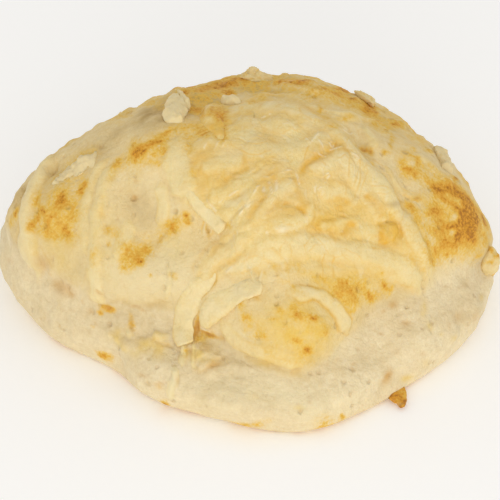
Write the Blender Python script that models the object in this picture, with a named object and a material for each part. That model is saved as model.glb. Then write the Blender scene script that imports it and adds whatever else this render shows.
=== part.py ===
"""A cheese scone: a hand-shaped wedge of dough, torn open along its front, with melted and crisp cheese.

Everything is worked out in millimetres and turned into metres when a mesh is filled.
The outer surface is a fan of profiles, one for each direction seen from above. A place on it is given
on the surface laid out flat: (a, b) is the way walked from the top of the dome, to +X and to +Y.
The front, at -Y, has the tear. The base lies on Z = 0, with the origin under the middle of the scone.
"""

import bmesh
import bpy
import numpy as np

MM = 0.001

# --- driving dimensions, in millimetres ---------------------------------------------------------

HEIGHT = 44.6                  # top of the dome above the base
CENTRE = (-1.6, -1.8)          # middle of the outline, taken off so that it stands over the origin

# One value every 20 degrees, from +X round by the back (+Y), the left end (-X) and the front (-Y).
BASE = (48.5, 47.5, 44.0, 41.0, 39.0, 39.0, 42.0, 47.0, 51.0,
        49.5, 44.5, 38.5, 39.5, 40.5, 44.5, 43.5, 43.5, 46.0)       # radius at the base
BELLY = (51.0, 47.5, 45.0, 42.5, 40.5, 41.0, 43.5, 49.0, 54.0,
         52.5, 46.0, 40.0, 40.5, 42.5, 45.5, 43.0, 44.0, 47.0)      # widest radius of the wall
RIM = (49.5, 45.0, 41.5, 39.5, 40.0, 39.5, 37.5, 41.0, 46.0,
       49.5, 43.5, 36.5, 31.5, 32.5, 38.5, 34.0, 34.0, 40.5)        # radius of the top crust's edge
RIM_HEIGHT = (12.0, 15.5, 18.5, 18.0, 18.5, 17.5, 17.0, 17.5, 17.5,
              19.0, 18.0, 16.5, 16.5, 13.5, 11.0, 13.0, 15.5, 16.5)
TEAR = (0.4, 0.3, 0.3, 0.3, 0.3, 0.3, 0.3, 0.3, 0.3,
        0.8, 2.4, 4.2, 4.6, 4.0, 1.6, 0.0, 0.0, 0.0)                # how deep the tear runs in under it
SHOULDER = (1.35, 1.5, 1.6, 1.7, 1.8, 1.8, 1.7, 1.6, 1.5,
            1.4, 1.3, 1.3, 1.25, 1.2, 1.15, 1.15, 1.2, 1.25)        # 1 slopes evenly, 2 is a round dome
BELLY_HEIGHT = 7.0
FOOT = 1.5                     # rounding where the wall meets the base
PROFILE_SMOOTHING = 6          # samples either side that round the profile's corners

# Lumps and hollows: place (a, b), half-sizes down the slope and across it, turn in degrees, height.
LUMPS = (
    (-20.5, -6.7, 4.0, 7.0, 20, 1.7),   # browned hump on the left shoulder
    (-24, -20, 7.0, 5.5, 0, -2.2),      # open hollow below it
    (-26, -13.5, 3.0, 3.0, 0, -0.8),
    (-42.5, -10, 6.0, 5.0, 0, 1.2),     # browned hump by the left end
    (-41.5, 0, 3.0, 6.0, 0, -1.2),
    (-28, -27.5, 5.0, 6.0, 0, 1.8),     # browned lump over the tear
    (-21, -33, 4.0, 4.0, 0, 1.0),
    (-15, -26, 5.0, 4.0, 0, -0.8),
    (-11, 5.5, 4.0, 8.0, -20, -1.5),    # shaded dip behind the standing flake
    (0.5, 12.5, 3.0, 5.0, 0, -1.2),
    (12, 14, 3.5, 7.0, 0, 1.0),         # back ridge
    (22, -3.5, 3.0, 7.0, 35, -1.2),     # crease along the melted sheet's right edge
    (32, -11.5, 3.0, 6.0, 20, -1.2),
    (46, -4, 8.0, 7.0, 0, 1.6),         # browned right shoulder
    (33, 2, 4.0, 4.0, 0, 1.0),
    (16, -42, 7.0, 8.0, 0, 1.3),        # browned front corner of the crust
    (-3, -42, 5.0, 6.0, 0, 0.8),
    (9, -18, 8.0, 11.0, 0, 0.7),
    (27, -31, 5.0, 7.0, 0, 0.9),
    (33, -44, 4.0, 3.0, 0, -0.8),       # dents in the open wall on the right
    (37, -53, 3.0, 2.5, 0, -1.2),
    (43, -33, 5.0, 6.0, 0, 0.7),
    (-47, -46, 4.0, 3.0, 0, -1.6),      # the wall's waist by the left foot
    (-33, -57, 5.0, 6.0, 0, 1.2),
    (-15, -54, 4.0, 7.0, 0, 1.0),       # shaggy ledge below the tear
    (-9, -58.5, 2.0, 9.0, 0, -0.9),
    (20, -65, 5.0, 8.0, 0, 1.2),        # front bulge at the base
    (4, -67, 5.0, 3.0, 0, -0.9),
    (46, -46, 4.0, 3.5, 0, -1.0),
    (62.5, -9, 2.4, 5.0, 0, -1.6),      # notch under the nub of the right end
    (30, 32, 6.0, 8.0, 10, 1.2),        # the back: soft folds like those of the front
    (8, 36, 5.0, 9.0, 0, -1.3),
    (-18, 31, 6.0, 7.0, -15, 1.4),
    (-38, 22, 5.0, 6.0, 0, -1.2),
    (2, 52, 4.0, 12.0, 0, 1.0),
    (-34, 44, 4.0, 9.0, 0, -1.1),
    (40, 42, 4.0, 8.0, 0, -1.1),
    (52, 20, 5.0, 6.0, 0, 0.9),
)

# Crags all over: size of a lump, its height, and the number that seeds it.
CRAGS = ((14.0, 1.1, 3), (6.5, 0.7, 5), (3.4, 0.32, 8))
NOISE_CELLS = 32

# The melted sheet: middle, reach every 20 degrees from +X, thickness and width of its edge.
SHEET_CENTRE = (10.0, -14.0)
SHEET_REACH = (26, 18.5, 17.5, 18, 20.5, 23, 26.5, 27, 24, 27.5, 24, 20.5, 21.5, 19, 17, 16, 20.5, 29)
SHEET_THICKNESS = 0.8
SHEET_EDGE = 1.5

SINK = 1.0                     # how deep a shred is sunk, so that it is one with the scone
SECTION_STEP = 2.8             # spacing of a shred's sections

# Cheese shreds that lie on the skin. Path of (a, b, lift off it), widths along it, and thickness.
SHREDS = {
    "left end strand": (((-44.6, 3.4, 0.3), (-46.8, 0, 0.2), (-50, -5, 0), (-53, -9.5, 0),
                         (-56.5, -12.5, 0), (-57, -18, 0)), (2.6, 2.6, 1.4), 1.6),
    "left band": (((-28, -6.5, 0), (-31.5, -8.4, 0), (-36, -12.3, 0), (-39.3, -19, 0),
                   (-41.2, -25.6, 0), (-45.5, -31.5, 0)), (2.6, 4.2, 4.4, 2.8), 1.1),
    "upper flap": (((-20.5, -13.5, 0), (-21.3, -17, 0.2), (-20.8, -21, 0.5)), (3.2, 3.4, 1.6), 1.0),
    "lower flap": (((-27.8, -19.5, 0.6), (-30.6, -22.3, 0.2), (-33, -27, 0)), (1.6, 3.4, 3.0), 0.9),
    "pale flake": (((-14.2, -5.4, 0.4), (-15.3, -9.2, 0.3), (-15.4, -12.4, 0), (-14.5, -16.4, 0)),
                   (2.0, 4.8, 4.6, 3.2), 1.2),
    "crisp shred": (((-14, -16, 0.6), (-11.8, -19.7, 0.3), (-9.5, -22.3, 0.4), (-6.8, -24.9, 0.9)),
                    (2.3, 2.4, 2.4), 1.3),
    "middle band": (((-5, -30.6, 0), (2, -30, 0), (10, -28.4, 0), (18, -26.4, 0), (27, -24.4, 0),
                     (35, -23.3, 0), (40.5, -23.6, 0), (43.8, -26, 0)), (3.5, 6.0, 6.0, 5.6, 2.6), 1.2),
    "corner hook": (((7.9, -37.1, 0.3), (11.4, -37.2, 0.1), (15.5, -36.8, 0), (18.5, -37.4, 0),
                     (21.6, -38.8, 0), (24.8, -41.4, 0.4)), (2.3, 2.4, 2.0), 1.2),
    "right ridge": (((16.5, -6.5, 0), (21.9, -11.7, 0), (27.5, -14, 0), (33.4, -17, 0),
                     (39, -19.2, 0), (45.5, -20.8, 0)), (2.6, 4.4, 3.8, 2.8), 1.1),
    "rough flake": (((-43.6, -4.2, 0), (-40.4, -2.8, 0.3), (-36.6, -3.2, 0.3), (-32.8, -4.2, 0)),
                    (1.8, 2.8, 2.2), 1.2),
    "standing flake": (((-15.9, 10.5, 1.7), (-15.6, 7, 1.5), (-15.4, 3, 0.9), (-15.1, -1.5, 0)),
                       (3.2, 4.0, 4.0), 1.5),
    "folded flake": (((-8.6, 4.6, 0.6), (-8.4, 0.5, 0.5), (-7.6, -3.2, 0.2), (-6, -8, 0)),
                     (3.4, 3.6, 2.2), 1.5),
    "small nub": (((-6.6, 8.8, 0.4), (-4.5, 7.3, 0.5), (-2.6, 5.6, 0.2)), (2.2, 2.4, 2.0), 1.3),
    "back ridge strand": (((1.7, 13.4, 0), (8, 12.2, 0), (13.5, 9.2, 0)), (2.4, 3.0, 2.2), 0.9),
    "thin back strand": (((11, 4.4, 0), (15, 4.2, 0.1), (20, 5.4, 0.1), (27, 9.5, 0)), (1.6, 1.8, 1.5), 0.8),
    "skyline flake": (((41.5, 13, 0.5), (42.8, 8, 0.6), (42.5, 3, 0.2)), (2.6, 4.0, 3.0), 1.1),
    "shoulder strand": (((34.5, 0.2, 0), (38.3, 0.5, 0.2), (42.5, -1.5, 0)), (2.4, 3.0, 2.4), 1.0),
    "back strand, left": (((-14, 24, 0), (-18, 30, 0), (-18, 37, 0), (-14, 44, 0.3)), (2.4, 2.8, 1.8), 1.1),
    "back strand, middle": (((6, 27, 0), (10, 33, 0), (17, 37, 0), (23, 37, 0.3)), (2.2, 2.8, 2.0), 1.0),
    "back drip": (((25, 25, 0), (31, 31, 0), (34, 39, 0), (34, 48, 0.3)), (2.6, 3.8, 2.6), 1.1),
    "back flake": (((-30, 21, 0.1), (-34, 24, 0.1), (-39, 24, 0.5)), (2.2, 3.2, 2.4), 1.0),
    "back wisp": (((-2, 42, 0), (-7, 47, 0), (-8, 54, 0.3)), (1.8, 2.2, 1.6), 0.9),
}

# Shreds that run free of the skin between their points, over the tear. They are given alike.
HANGING_SHREDS = {
    "front drip": (((-4, -30.2, 0), (-9.8, -32.2, 0), (-14.8, -35, 0.2), (-18.6, -38.3, 0.6),
                    (-21.2, -49.6, 0.5)), (3.4, 3.4, 3.6, 3.6), 1.3),
    "front hook": (((8.5, -35.5, 0), (2, -36.6, 0), (-3.9, -36.8, 0), (-7.2, -37.4, 0.2),
                    (-10.6, -38.8, 0.4), (-13.4, -40.8, 0.6), (-14.3, -43.6, 0.8)),
                   (2.4, 3.8, 3.2, 3.6, 2.6), 1.3),
    "tongue in the tear": (((-33.5, -32, 0), (-40, -38, 0.4), (-38.2, -42.4, 0)), (1.6, 2.2, 1.8), 1.0),
}
WIDE_SHRED = 3.4               # from this width on, a shred has more sides
WIDE_SIDES = 8
NARROW_SIDES = 6

# Crumbs and beads: place (a, b), lift of the middle, half-sizes down the slope, across and up.
CRUMBS = (
    (0.6, 18.5, 0.2, 1.8, 3.0, 1.3),        # crumb standing on the skyline
    (-0.4, 18.6, 1.1, 1.2, 1.3, 1.5),
    (24, 19.5, 0.2, 1.6, 2.4, 1.2),         # crumb on the right of the skyline
    (30.5, -19, 0.2, 2.6, 3.4, 1.2),        # golden bead at the end of the right ridge
    (8.2, -22.5, 0.1, 1.6, 1.8, 0.9),
    (32.6, -1.7, 0.2, 2.6, 2.4, 1.0),
    (60.5, -6.4, 0.9, 1.7, 2.4, 1.7),       # nub at the right end of the crust
    (-36, 34, 0.1, 1.6, 2.2, 1.2),
    (12, 47, 0.2, 1.8, 1.6, 1.1),
    (-18.5, -52.5, 0.3, 2.2, 3.0, 1.3),     # shaggy dough on the ledge
    (-11.5, -54.5, 0.3, 2.4, 3.4, 1.4),
)

# Burnt cheese run out at the foot: direction in degrees, how far out it ends, sizes.
FOOT_CRISP_ANGLE = -49.5
FOOT_CRISP_ROOT = 40.0
FOOT_CRISP_TIP = 46.5
FOOT_CRISP_WIDTH = 5.0
FOOT_CRISP_HEIGHT = 2.6
FOOT_CRISP_SKEW = 1.6

# How finely the meshes are made.
TABLE_ANGLES = 360
TABLE_STEPS = 240
PROFILE_SAMPLES = 400
BODY_SIDES = 88
DOME_RINGS = 20                # from the top to the crust's edge
WALL_RINGS = 14                # from there to the foot
BASE_RINGS = 3

CRUST_COLOUR = (0.74, 0.56, 0.31, 1.0)
CRUST_ROUGHNESS = 0.62


# --- the surface of the scone -------------------------------------------------------------------

def catmull_rom(before, here, after, beyond, part):
    """The smooth curve through here and after, a part of the way between them."""
    bend = 2 * before - 5 * here + 4 * after - beyond
    twist = 3 * (here - after) + beyond - before
    return here + 0.5 * part * (after - before + part * (bend + part * twist))


def around(values, angle):
    """A smooth closed curve through evenly spaced values, read at any angle in radians."""
    values = np.asarray(values, float)
    place = (angle / (2 * np.pi) % 1.0) * len(values)
    index = np.floor(place).astype(int)
    part = place - index
    return catmull_rom(*(values[(index + k) % len(values)] for k in (-1, 0, 1, 2)), part)


def spaced_evenly(radius, height, count):
    """Profiles with their samples the same distance apart, and the length of each profile."""
    step = np.hypot(np.diff(radius, axis=1), np.diff(height, axis=1))
    walked = np.hstack([np.zeros((len(radius), 1)), np.cumsum(step, axis=1)])
    length = walked[:, -1]
    even = [np.linspace(0, end, count) for end in length]
    radius = np.array([np.interp(e, w, r) for e, w, r in zip(even, walked, radius)])
    height = np.array([np.interp(e, w, h) for e, w, h in zip(even, walked, height)])
    return radius, height, length


def profiles(angle):
    """Radius and height from the top of the dome to the foot for each angle, with their length
    and the share of it that lies above the crust's edge."""
    rim, rim_height, belly, base, tear, shoulder = (
        around(values, angle)[:, None] for values in (RIM, RIM_HEIGHT, BELLY, BASE, TEAR, SHOULDER))
    tear = np.maximum(tear, 0)
    out = np.sin(np.linspace(0, np.pi / 2, 60))[None, :]
    dome_radius = rim * out
    dome_height = rim_height + (HEIGHT - rim_height) * np.maximum(1 - out ** 2, 0) ** (1 / shoulder)
    drop = rim_height - BELLY_HEIGHT
    spread = belly - rim
    wall = [(rim + 0.12 * spread - tear, rim_height - 0.2 * drop - 0.2 * tear),
            (rim + 0.5 * spread - 0.2 * tear, rim_height - 0.42 * drop),
            (rim + 0.8 * spread, rim_height - 0.62 * drop),
            (belly, BELLY_HEIGHT + 0 * rim),
            (base, 0.8 * FOOT + 0 * rim),
            (base - FOOT, 0 * rim)]
    radius = np.hstack([dome_radius] + [r for r, _ in wall])
    height = np.hstack([dome_height] + [h for _, h in wall])
    step = np.hypot(np.diff(radius, axis=1), np.diff(height, axis=1))
    rim_share = step[:, :dome_radius.shape[1] - 1].sum(axis=1) / step.sum(axis=1)
    radius, height, _ = spaced_evenly(radius, height, PROFILE_SAMPLES)
    for _ in range(2):
        radius = rounded(radius, -1)
        height = rounded(height, 1)
    return *spaced_evenly(radius, height, TABLE_STEPS), rim_share


def rounded(values, mirror):
    """A moving mean along each profile. It is mirrored at the top, and the foot stays where it is."""
    reach = PROFILE_SMOOTHING
    padded = np.hstack([mirror * values[:, reach:0:-1], values, np.repeat(values[:, -1:], reach, 1)])
    weight = np.hanning(2 * reach + 3)[1:-1]
    weight /= weight.sum()
    mean = sum(w * padded[:, k:k + values.shape[1]] for k, w in enumerate(weight))
    mean[:, -1] = values[:, -1]
    if mirror < 0:
        mean[:, 0] = 0
    return mean


def noise(points, size, seed):
    """Smooth noise from -1 to 1 over space: random values on a cubic lattice, blended between."""
    lattice = np.random.default_rng(seed).uniform(-1, 1, (NOISE_CELLS,) * 3)
    scaled = points / size + 100
    cell = np.floor(scaled).astype(int)
    part = scaled - cell
    part = part * part * (3 - 2 * part)
    total = 0
    for corner in np.ndindex(2, 2, 2):
        index = (cell + corner) % NOISE_CELLS
        weight = np.prod(np.where(corner, part, 1 - part), axis=-1)
        total = total + weight * lattice[index[..., 0], index[..., 1], index[..., 2]]
    return total


def bump(a, b, squeeze, place_a, place_b, down, across, turn):
    """1 at a place, falling away smoothly; squeeze turns the laid-out width into the true one."""
    walked = np.maximum(np.hypot(a, b), 1e-6)
    along = ((a - place_a) * a + (b - place_b) * b) / walked
    aside = ((b - place_b) * a - (a - place_a) * b) / walked * squeeze
    turn = np.radians(turn)
    first = (along * np.cos(turn) + aside * np.sin(turn)) / down
    second = (aside * np.cos(turn) - along * np.sin(turn)) / across
    return np.exp(-(first ** 2 + second ** 2))


def relief(a, b, squeeze, points):
    """Height of the lumps, the melted sheet and the crags above the plain form."""
    height = np.zeros(a.shape)
    for place_a, place_b, down, across, turn, rise in LUMPS:
        height += rise * bump(a, b, squeeze, place_a, place_b, down, across, turn)
    from_centre = np.hypot(a - SHEET_CENTRE[0], b - SHEET_CENTRE[1])
    bearing = np.arctan2(b - SHEET_CENTRE[1], a - SHEET_CENTRE[0])
    inside = (around(SHEET_REACH, bearing) - from_centre) / SHEET_EDGE
    height += SHEET_THICKNESS / (1 + np.exp(-2 * np.clip(inside, -20, 20)))
    for size, rise, seed in CRAGS:
        height += rise * noise(points, size, seed)
    return height


class Skin:
    """The outer surface as a table over angle and way walked, read at any place in between."""

    def __init__(self):
        angle = np.arange(TABLE_ANGLES) / TABLE_ANGLES * 2 * np.pi
        radius, height, self.length, self.rim_share = profiles(angle)
        way = np.linspace(0, 1, TABLE_STEPS)[None, :] * self.length[:, None]
        cos, sin = np.cos(angle)[:, None], np.sin(angle)[:, None]
        form = np.stack([radius * cos - CENTRE[0], radius * sin - CENTRE[1], height], axis=-1)
        squeeze = radius / np.maximum(way, 1e-6)
        squeeze[:, 0] = 1
        rise = relief(way * cos, way * sin, squeeze, form)
        rise[:, 0] = rise[:, 1].mean()
        rise *= np.clip(form[..., 2] / 4.0, 0, 1)        # the foot stays flat on the base
        self.points = form + rise[..., None] * self.outward(form)
        self.points[..., 2] = np.maximum(self.points[..., 2], 0)
        self.normals = self.outward(self.points)

    @staticmethod
    def outward(points):
        """Unit normals of the table, worked out from neighbouring points."""
        down = np.gradient(points, axis=1)
        round_about = np.roll(points, -1, axis=0) - np.roll(points, 1, axis=0)
        normal = np.cross(down, round_about)
        normal[:, 0] = (0, 0, 1)
        return normal / np.maximum(np.linalg.norm(normal, axis=-1, keepdims=True), 1e-9)

    def read(self, table, angle, share):
        """A table's value at an angle and a share of the way from the top to the foot."""
        column = (angle / (2 * np.pi) % 1.0) * TABLE_ANGLES
        row = np.clip(share, 0, 1) * (TABLE_STEPS - 1)
        c0 = np.floor(column).astype(int) % TABLE_ANGLES
        r0 = np.minimum(np.floor(row).astype(int), TABLE_STEPS - 2)
        c1 = (c0 + 1) % TABLE_ANGLES
        fc = (column - np.floor(column))[..., None]
        fr = (row - r0)[..., None]
        upper = table[c0, r0] * (1 - fr) + table[c0, r0 + 1] * fr
        lower = table[c1, r0] * (1 - fr) + table[c1, r0 + 1] * fr
        return upper * (1 - fc) + lower * fc

    def at(self, a, b):
        """Points and normals at places (a, b) of the laid-out surface."""
        angle = np.arctan2(b, a) % (2 * np.pi)
        share = np.hypot(a, b) / around(self.length, angle)
        normal = self.read(self.normals, angle, share)
        return self.read(self.points, angle, share), normal / np.linalg.norm(normal, axis=-1, keepdims=True)


# --- solids -------------------------------------------------------------------------------------

def add_object(name, mesh, collection, material=None):
    """A named object for a mesh, in a collection."""
    item = bpy.data.objects.new(name, mesh)
    collection.objects.link(item)
    if material:
        mesh.materials.append(material)
    return item


def body_mesh(skin):
    """The dough: a UV sphere whose rings are laid down the dome, down the wall and across the base."""
    shape = bmesh.new()
    rings = DOME_RINGS + WALL_RINGS + BASE_RINGS
    bmesh.ops.create_uvsphere(shape, u_segments=BODY_SIDES, v_segments=rings, radius=1.0)
    places = np.array([v.co for v in shape.verts], float)
    angle = np.arctan2(places[:, 1], places[:, 0]) % (2 * np.pi)
    ring = np.rint(np.arccos(np.clip(places[:, 2], -1, 1)) / np.pi * rings)
    rim_share = around(skin.rim_share, angle)
    on_dome = ring / DOME_RINGS * rim_share
    on_wall = rim_share + (ring - DOME_RINGS) / WALL_RINGS * (1 - rim_share)
    points = skin.read(skin.points, angle, np.where(ring < DOME_RINGS, on_dome, on_wall))
    inward = np.clip((rings - ring) / BASE_RINGS, 0, 1)
    points[:, :2] *= inward[:, None]
    for vert, point in zip(shape.verts, points * MM):
        vert.co = point
    bmesh.ops.recalc_face_normals(shape, faces=shape.faces)
    mesh = bpy.data.meshes.new("scone")
    shape.to_mesh(mesh)
    shape.free()
    return mesh


def spread_along(values, share):
    """Values at even places along a run, read at shares from 0 to 1."""
    return np.interp(share, np.linspace(0, 1, len(values)), values)


def smooth_path(path):
    """Sections every few millimetres on a smooth curve through a path's points."""
    path = np.asarray(path, float)
    ends = np.vstack([2 * path[0] - path[1], path, 2 * path[-1] - path[-2]])
    part = np.linspace(0, 1, 12, endpoint=False)[:, None]
    finely = np.vstack([catmull_rom(*ends[k:k + 4], part) for k in range(len(path) - 1)] + [path[-1:]])
    spatial = finely[:, :2] if finely.shape[1] == 3 else finely[:, :3]
    walked = np.concatenate([[0], np.cumsum(np.linalg.norm(np.diff(spatial, axis=0), axis=1))])
    count = max(4, int(round(walked[-1] / SECTION_STEP)) + 1)
    even = np.linspace(0, walked[-1], count)
    return np.stack([np.interp(even, walked, finely[:, k]) for k in range(finely.shape[1])], axis=1)


def shred_mesh(name, skin, path, widths, thickness, hanging=False):
    """A flat strand with rounded edges and blunt ends, lofted along its path on or over the skin."""
    if hanging:
        places = np.array(path, float)
        places = np.hstack([places, *skin.at(places[:, 0], places[:, 1])])
        route = smooth_path(np.hstack([places[:, 3:6], places]))
        lift, points, up = route[:, 5], route[:, 0:3], route[:, 9:12]
        up = up / np.linalg.norm(up, axis=1, keepdims=True)
    else:
        route = smooth_path(path)
        lift = route[:, 2]
        points, up = skin.at(route[:, 0], route[:, 1])
    share = np.linspace(0, 1, len(route))
    ahead = np.gradient(points, axis=0)
    side = np.cross(up, ahead)
    side /= np.linalg.norm(side, axis=1, keepdims=True)
    blunt = np.where((share == 0) | (share == 1), 0.72, 1.0)
    half_width = spread_along(widths, share) / 2 * blunt
    top = lift + thickness * blunt
    bottom = lift - SINK
    count = WIDE_SIDES if max(widths) >= WIDE_SHRED else NARROW_SIDES
    turn = (np.arange(count) + 0.5) / count * 2 * np.pi
    across = np.sign(np.cos(turn)) * np.abs(np.cos(turn)) ** 0.6
    upward = np.sign(np.sin(turn)) * np.abs(np.sin(turn)) ** 0.8
    middle, half_height = (top + bottom) / 2, (top - bottom) / 2
    rings = (points[:, None] + side[:, None] * (half_width[:, None] * across)[..., None]
             + up[:, None] * (middle[:, None] + half_height[:, None] * upward)[..., None])
    faces = [tuple(range(count))]
    for k in range(len(route) - 1):
        for j in range(count):
            here, following = k * count + j, k * count + (j + 1) % count
            faces.append((here, here + count, following + count, following))
    faces.append(tuple(reversed([(len(route) - 1) * count + j for j in range(count)])))
    mesh = bpy.data.meshes.new(name)
    mesh.from_pydata((rings.reshape(-1, 3) * MM).tolist(), [], faces)
    shape = bmesh.new()
    shape.from_mesh(mesh)
    bmesh.ops.recalc_face_normals(shape, faces=shape.faces)
    shape.to_mesh(mesh)
    shape.free()
    return mesh


def crumb_mesh(name, skin, a, b, lift, down, across, up):
    """A rounded crumb: an icosphere with its own three half-sizes, set on the skin."""
    point, normal = skin.at(np.array([a], float), np.array([b], float))
    point, normal = point[0], normal[0]
    slope = np.array([a, b, 0.0]) - normal * (np.array([a, b, 0.0]) @ normal)
    slope /= np.linalg.norm(slope)
    frame = np.array([slope * down, np.cross(normal, slope) * across, normal * up])
    shape = bmesh.new()
    bmesh.ops.create_icosphere(shape, subdivisions=2, radius=1.0)
    for vert in shape.verts:
        vert.co = (point + normal * lift + np.array(vert.co) @ frame) * MM
    bmesh.ops.recalc_face_normals(shape, faces=shape.faces)
    mesh = bpy.data.meshes.new(name)
    shape.to_mesh(mesh)
    shape.free()
    return mesh


def foot_crisp_mesh():
    """Burnt cheese at the foot: a six-sided cone laid flat, pointing out along the base."""
    shape = bmesh.new()
    length = FOOT_CRISP_TIP - FOOT_CRISP_ROOT
    bmesh.ops.create_cone(shape, cap_ends=True, segments=6, radius1=1.0, radius2=0.5, depth=1.0)
    angle = np.radians(FOOT_CRISP_ANGLE)
    out = np.array([np.cos(angle), np.sin(angle), 0])
    aside = np.array([-np.sin(angle), np.cos(angle), 0])
    for vert in shape.verts:
        across, up, along = vert.co.x, vert.co.y, vert.co.z + 0.5
        place = out * (FOOT_CRISP_ROOT + along * length)
        place = place + aside * (across * FOOT_CRISP_WIDTH / 2 - FOOT_CRISP_SKEW * along ** 2)
        place[2] = (up + 0.95) * FOOT_CRISP_HEIGHT / 2 + 0.2
        place[:2] -= CENTRE
        vert.co = place * MM
    bmesh.ops.recalc_face_normals(shape, faces=shape.faces)
    mesh = bpy.data.meshes.new("foot crisp")
    shape.to_mesh(mesh)
    shape.free()
    return mesh


def join_all(body, pieces):
    """One exact union of the body with a collection of pieces, applied; the pieces are removed."""
    union = body.modifiers.new("fuse", "BOOLEAN")
    union.operation = "UNION"
    union.operand_type = "COLLECTION"
    union.collection = pieces
    union.solver = "EXACT"
    depsgraph = bpy.context.evaluated_depsgraph_get()
    fused = bpy.data.meshes.new_from_object(body.evaluated_get(depsgraph))
    body.modifiers.clear()
    body.data = fused
    for piece in list(pieces.objects):
        bpy.data.objects.remove(piece)
    bpy.data.collections.remove(pieces)


def make_material(name, colour, roughness):
    """A plain Principled finish."""
    material = bpy.data.materials.new(name)
    material.use_nodes = True
    shader = material.node_tree.nodes["Principled BSDF"]
    shader.inputs["Base Color"].default_value = colour
    shader.inputs["Roughness"].default_value = roughness
    shader.inputs["Metallic"].default_value = 0.0
    return material


def make_collection(name):
    """A collection in the scene."""
    collection = bpy.data.collections.new(name)
    bpy.context.scene.collection.children.link(collection)
    return collection


def main():
    for item in list(bpy.data.objects):
        bpy.data.objects.remove(item)
    parts = make_collection("cheese scone")
    pieces = make_collection("fused cheese")
    skin = Skin()
    scone = add_object("scone", body_mesh(skin), parts)
    for name, shred in SHREDS.items():
        add_object(name, shred_mesh(name, skin, *shred), pieces)
    for name, shred in HANGING_SHREDS.items():
        add_object(name, shred_mesh(name, skin, *shred, hanging=True), pieces)
    for number, crumb in enumerate(CRUMBS):
        name = f"crumb {number + 1}"
        add_object(name, crumb_mesh(name, skin, *crumb), pieces)
    add_object("foot crisp", foot_crisp_mesh(), pieces)
    join_all(scone, pieces)
    scone.data.materials.clear()
    scone.data.materials.append(make_material("crust", CRUST_COLOUR, CRUST_ROUGHNESS))
    scone.data.shade_smooth()


main()
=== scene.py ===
"""A cheese scone: pale torn dough, browned crust, melted cheese and crisp shreds.

Lengths are in millimetres until a mesh is filled. A place on the scone is given on its surface laid out
flat: (a, b) is the way walked from the top of the dome, to +X and to +Y. The front, at -Y, has the tear.
"""

import bpy
import numpy as np
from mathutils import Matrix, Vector


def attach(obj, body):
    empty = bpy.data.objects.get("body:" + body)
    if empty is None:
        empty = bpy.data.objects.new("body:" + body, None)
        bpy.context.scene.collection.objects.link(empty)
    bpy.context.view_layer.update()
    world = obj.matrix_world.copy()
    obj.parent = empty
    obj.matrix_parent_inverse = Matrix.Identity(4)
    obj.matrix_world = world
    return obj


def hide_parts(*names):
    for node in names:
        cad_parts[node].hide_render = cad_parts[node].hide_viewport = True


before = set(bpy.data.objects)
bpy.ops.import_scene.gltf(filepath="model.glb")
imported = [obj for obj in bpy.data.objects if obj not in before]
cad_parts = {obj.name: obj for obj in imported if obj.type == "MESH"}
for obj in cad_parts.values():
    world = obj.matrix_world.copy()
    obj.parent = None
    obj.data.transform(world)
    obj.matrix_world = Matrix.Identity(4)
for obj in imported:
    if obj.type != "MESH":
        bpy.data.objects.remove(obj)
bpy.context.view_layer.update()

MM = 0.001

# --- camera, light and floor ---------------------------------------------------------------------

CAMERA_TARGET = (0.74, 1.8, 11.0)
CAMERA_ELEVATION = 38.0
CAMERA_DISTANCE = 385.0
CAMERA_LENS = 135.0
CAMERA_SENSOR = 36.0

WORLD_COLOUR = (1.0, 0.985, 0.96, 1.0)
WORLD_STRENGTH = 0.768
FLOOR_COLOUR = (0.96, 0.96, 0.955, 1.0)
FLOOR_HALF = 2000.0
FLOOR_GLOW = 0.13

# Area lights: direction they come from (azimuth from the front, elevation), distance, size, watts, colour.
LIGHTS = {
    "front softbox": (-4, 13, 700, 420, 1.36, (1.0, 0.985, 0.96)),
    "side fill": (62, 20, 800, 500, 0.4, (1.0, 0.98, 0.96)),
}

# --- the form: the same dimensions as the part's ----------------------------------------------------

HEIGHT = 44.6                  # top of the dome above the base
CENTRE = (-1.6, -1.8)          # middle of the outline, taken off so that it stands over the origin

# One value every 20 degrees, from +X round by the back (+Y), the left end (-X) and the front (-Y):
# radius at the base, of the wall's belly and of the crust's edge, height of that edge, how deep the
# tear runs in under it, and how the dome falls (1 slopes evenly, 2 is a round dome).
BASE = (48.5, 47.5, 44.0, 41.0, 39.0, 39.0, 42.0, 47.0, 51.0,
        49.5, 44.5, 38.5, 39.5, 40.5, 44.5, 43.5, 43.5, 46.0)
BELLY = (51.0, 47.5, 45.0, 42.5, 40.5, 41.0, 43.5, 49.0, 54.0,
         52.5, 46.0, 40.0, 40.5, 42.5, 45.5, 43.0, 44.0, 47.0)
RIM = (49.5, 45.0, 41.5, 39.5, 40.0, 39.5, 37.5, 41.0, 46.0,
       49.5, 43.5, 36.5, 31.5, 32.5, 38.5, 34.0, 34.0, 40.5)
RIM_HEIGHT = (12.0, 15.5, 18.5, 18.0, 18.5, 17.5, 17.0, 17.5, 17.5,
              19.0, 18.0, 16.5, 16.5, 13.5, 11.0, 13.0, 15.5, 16.5)
TEAR = (0.4, 0.3, 0.3, 0.3, 0.3, 0.3, 0.3, 0.3, 0.3,
        0.8, 2.4, 4.2, 4.6, 4.0, 1.6, 0.0, 0.0, 0.0)
SHOULDER = (1.35, 1.5, 1.6, 1.7, 1.8, 1.8, 1.7, 1.6, 1.5,
            1.4, 1.3, 1.3, 1.25, 1.2, 1.15, 1.15, 1.2, 1.25)
BELLY_HEIGHT = 7.0
FOOT = 1.5                     # rounding where the wall meets the base
DOME_SAMPLES = 60
PROFILE_SAMPLES = 400
PROFILE_SMOOTHING = 6          # samples either side that round the profile's corners

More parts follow.
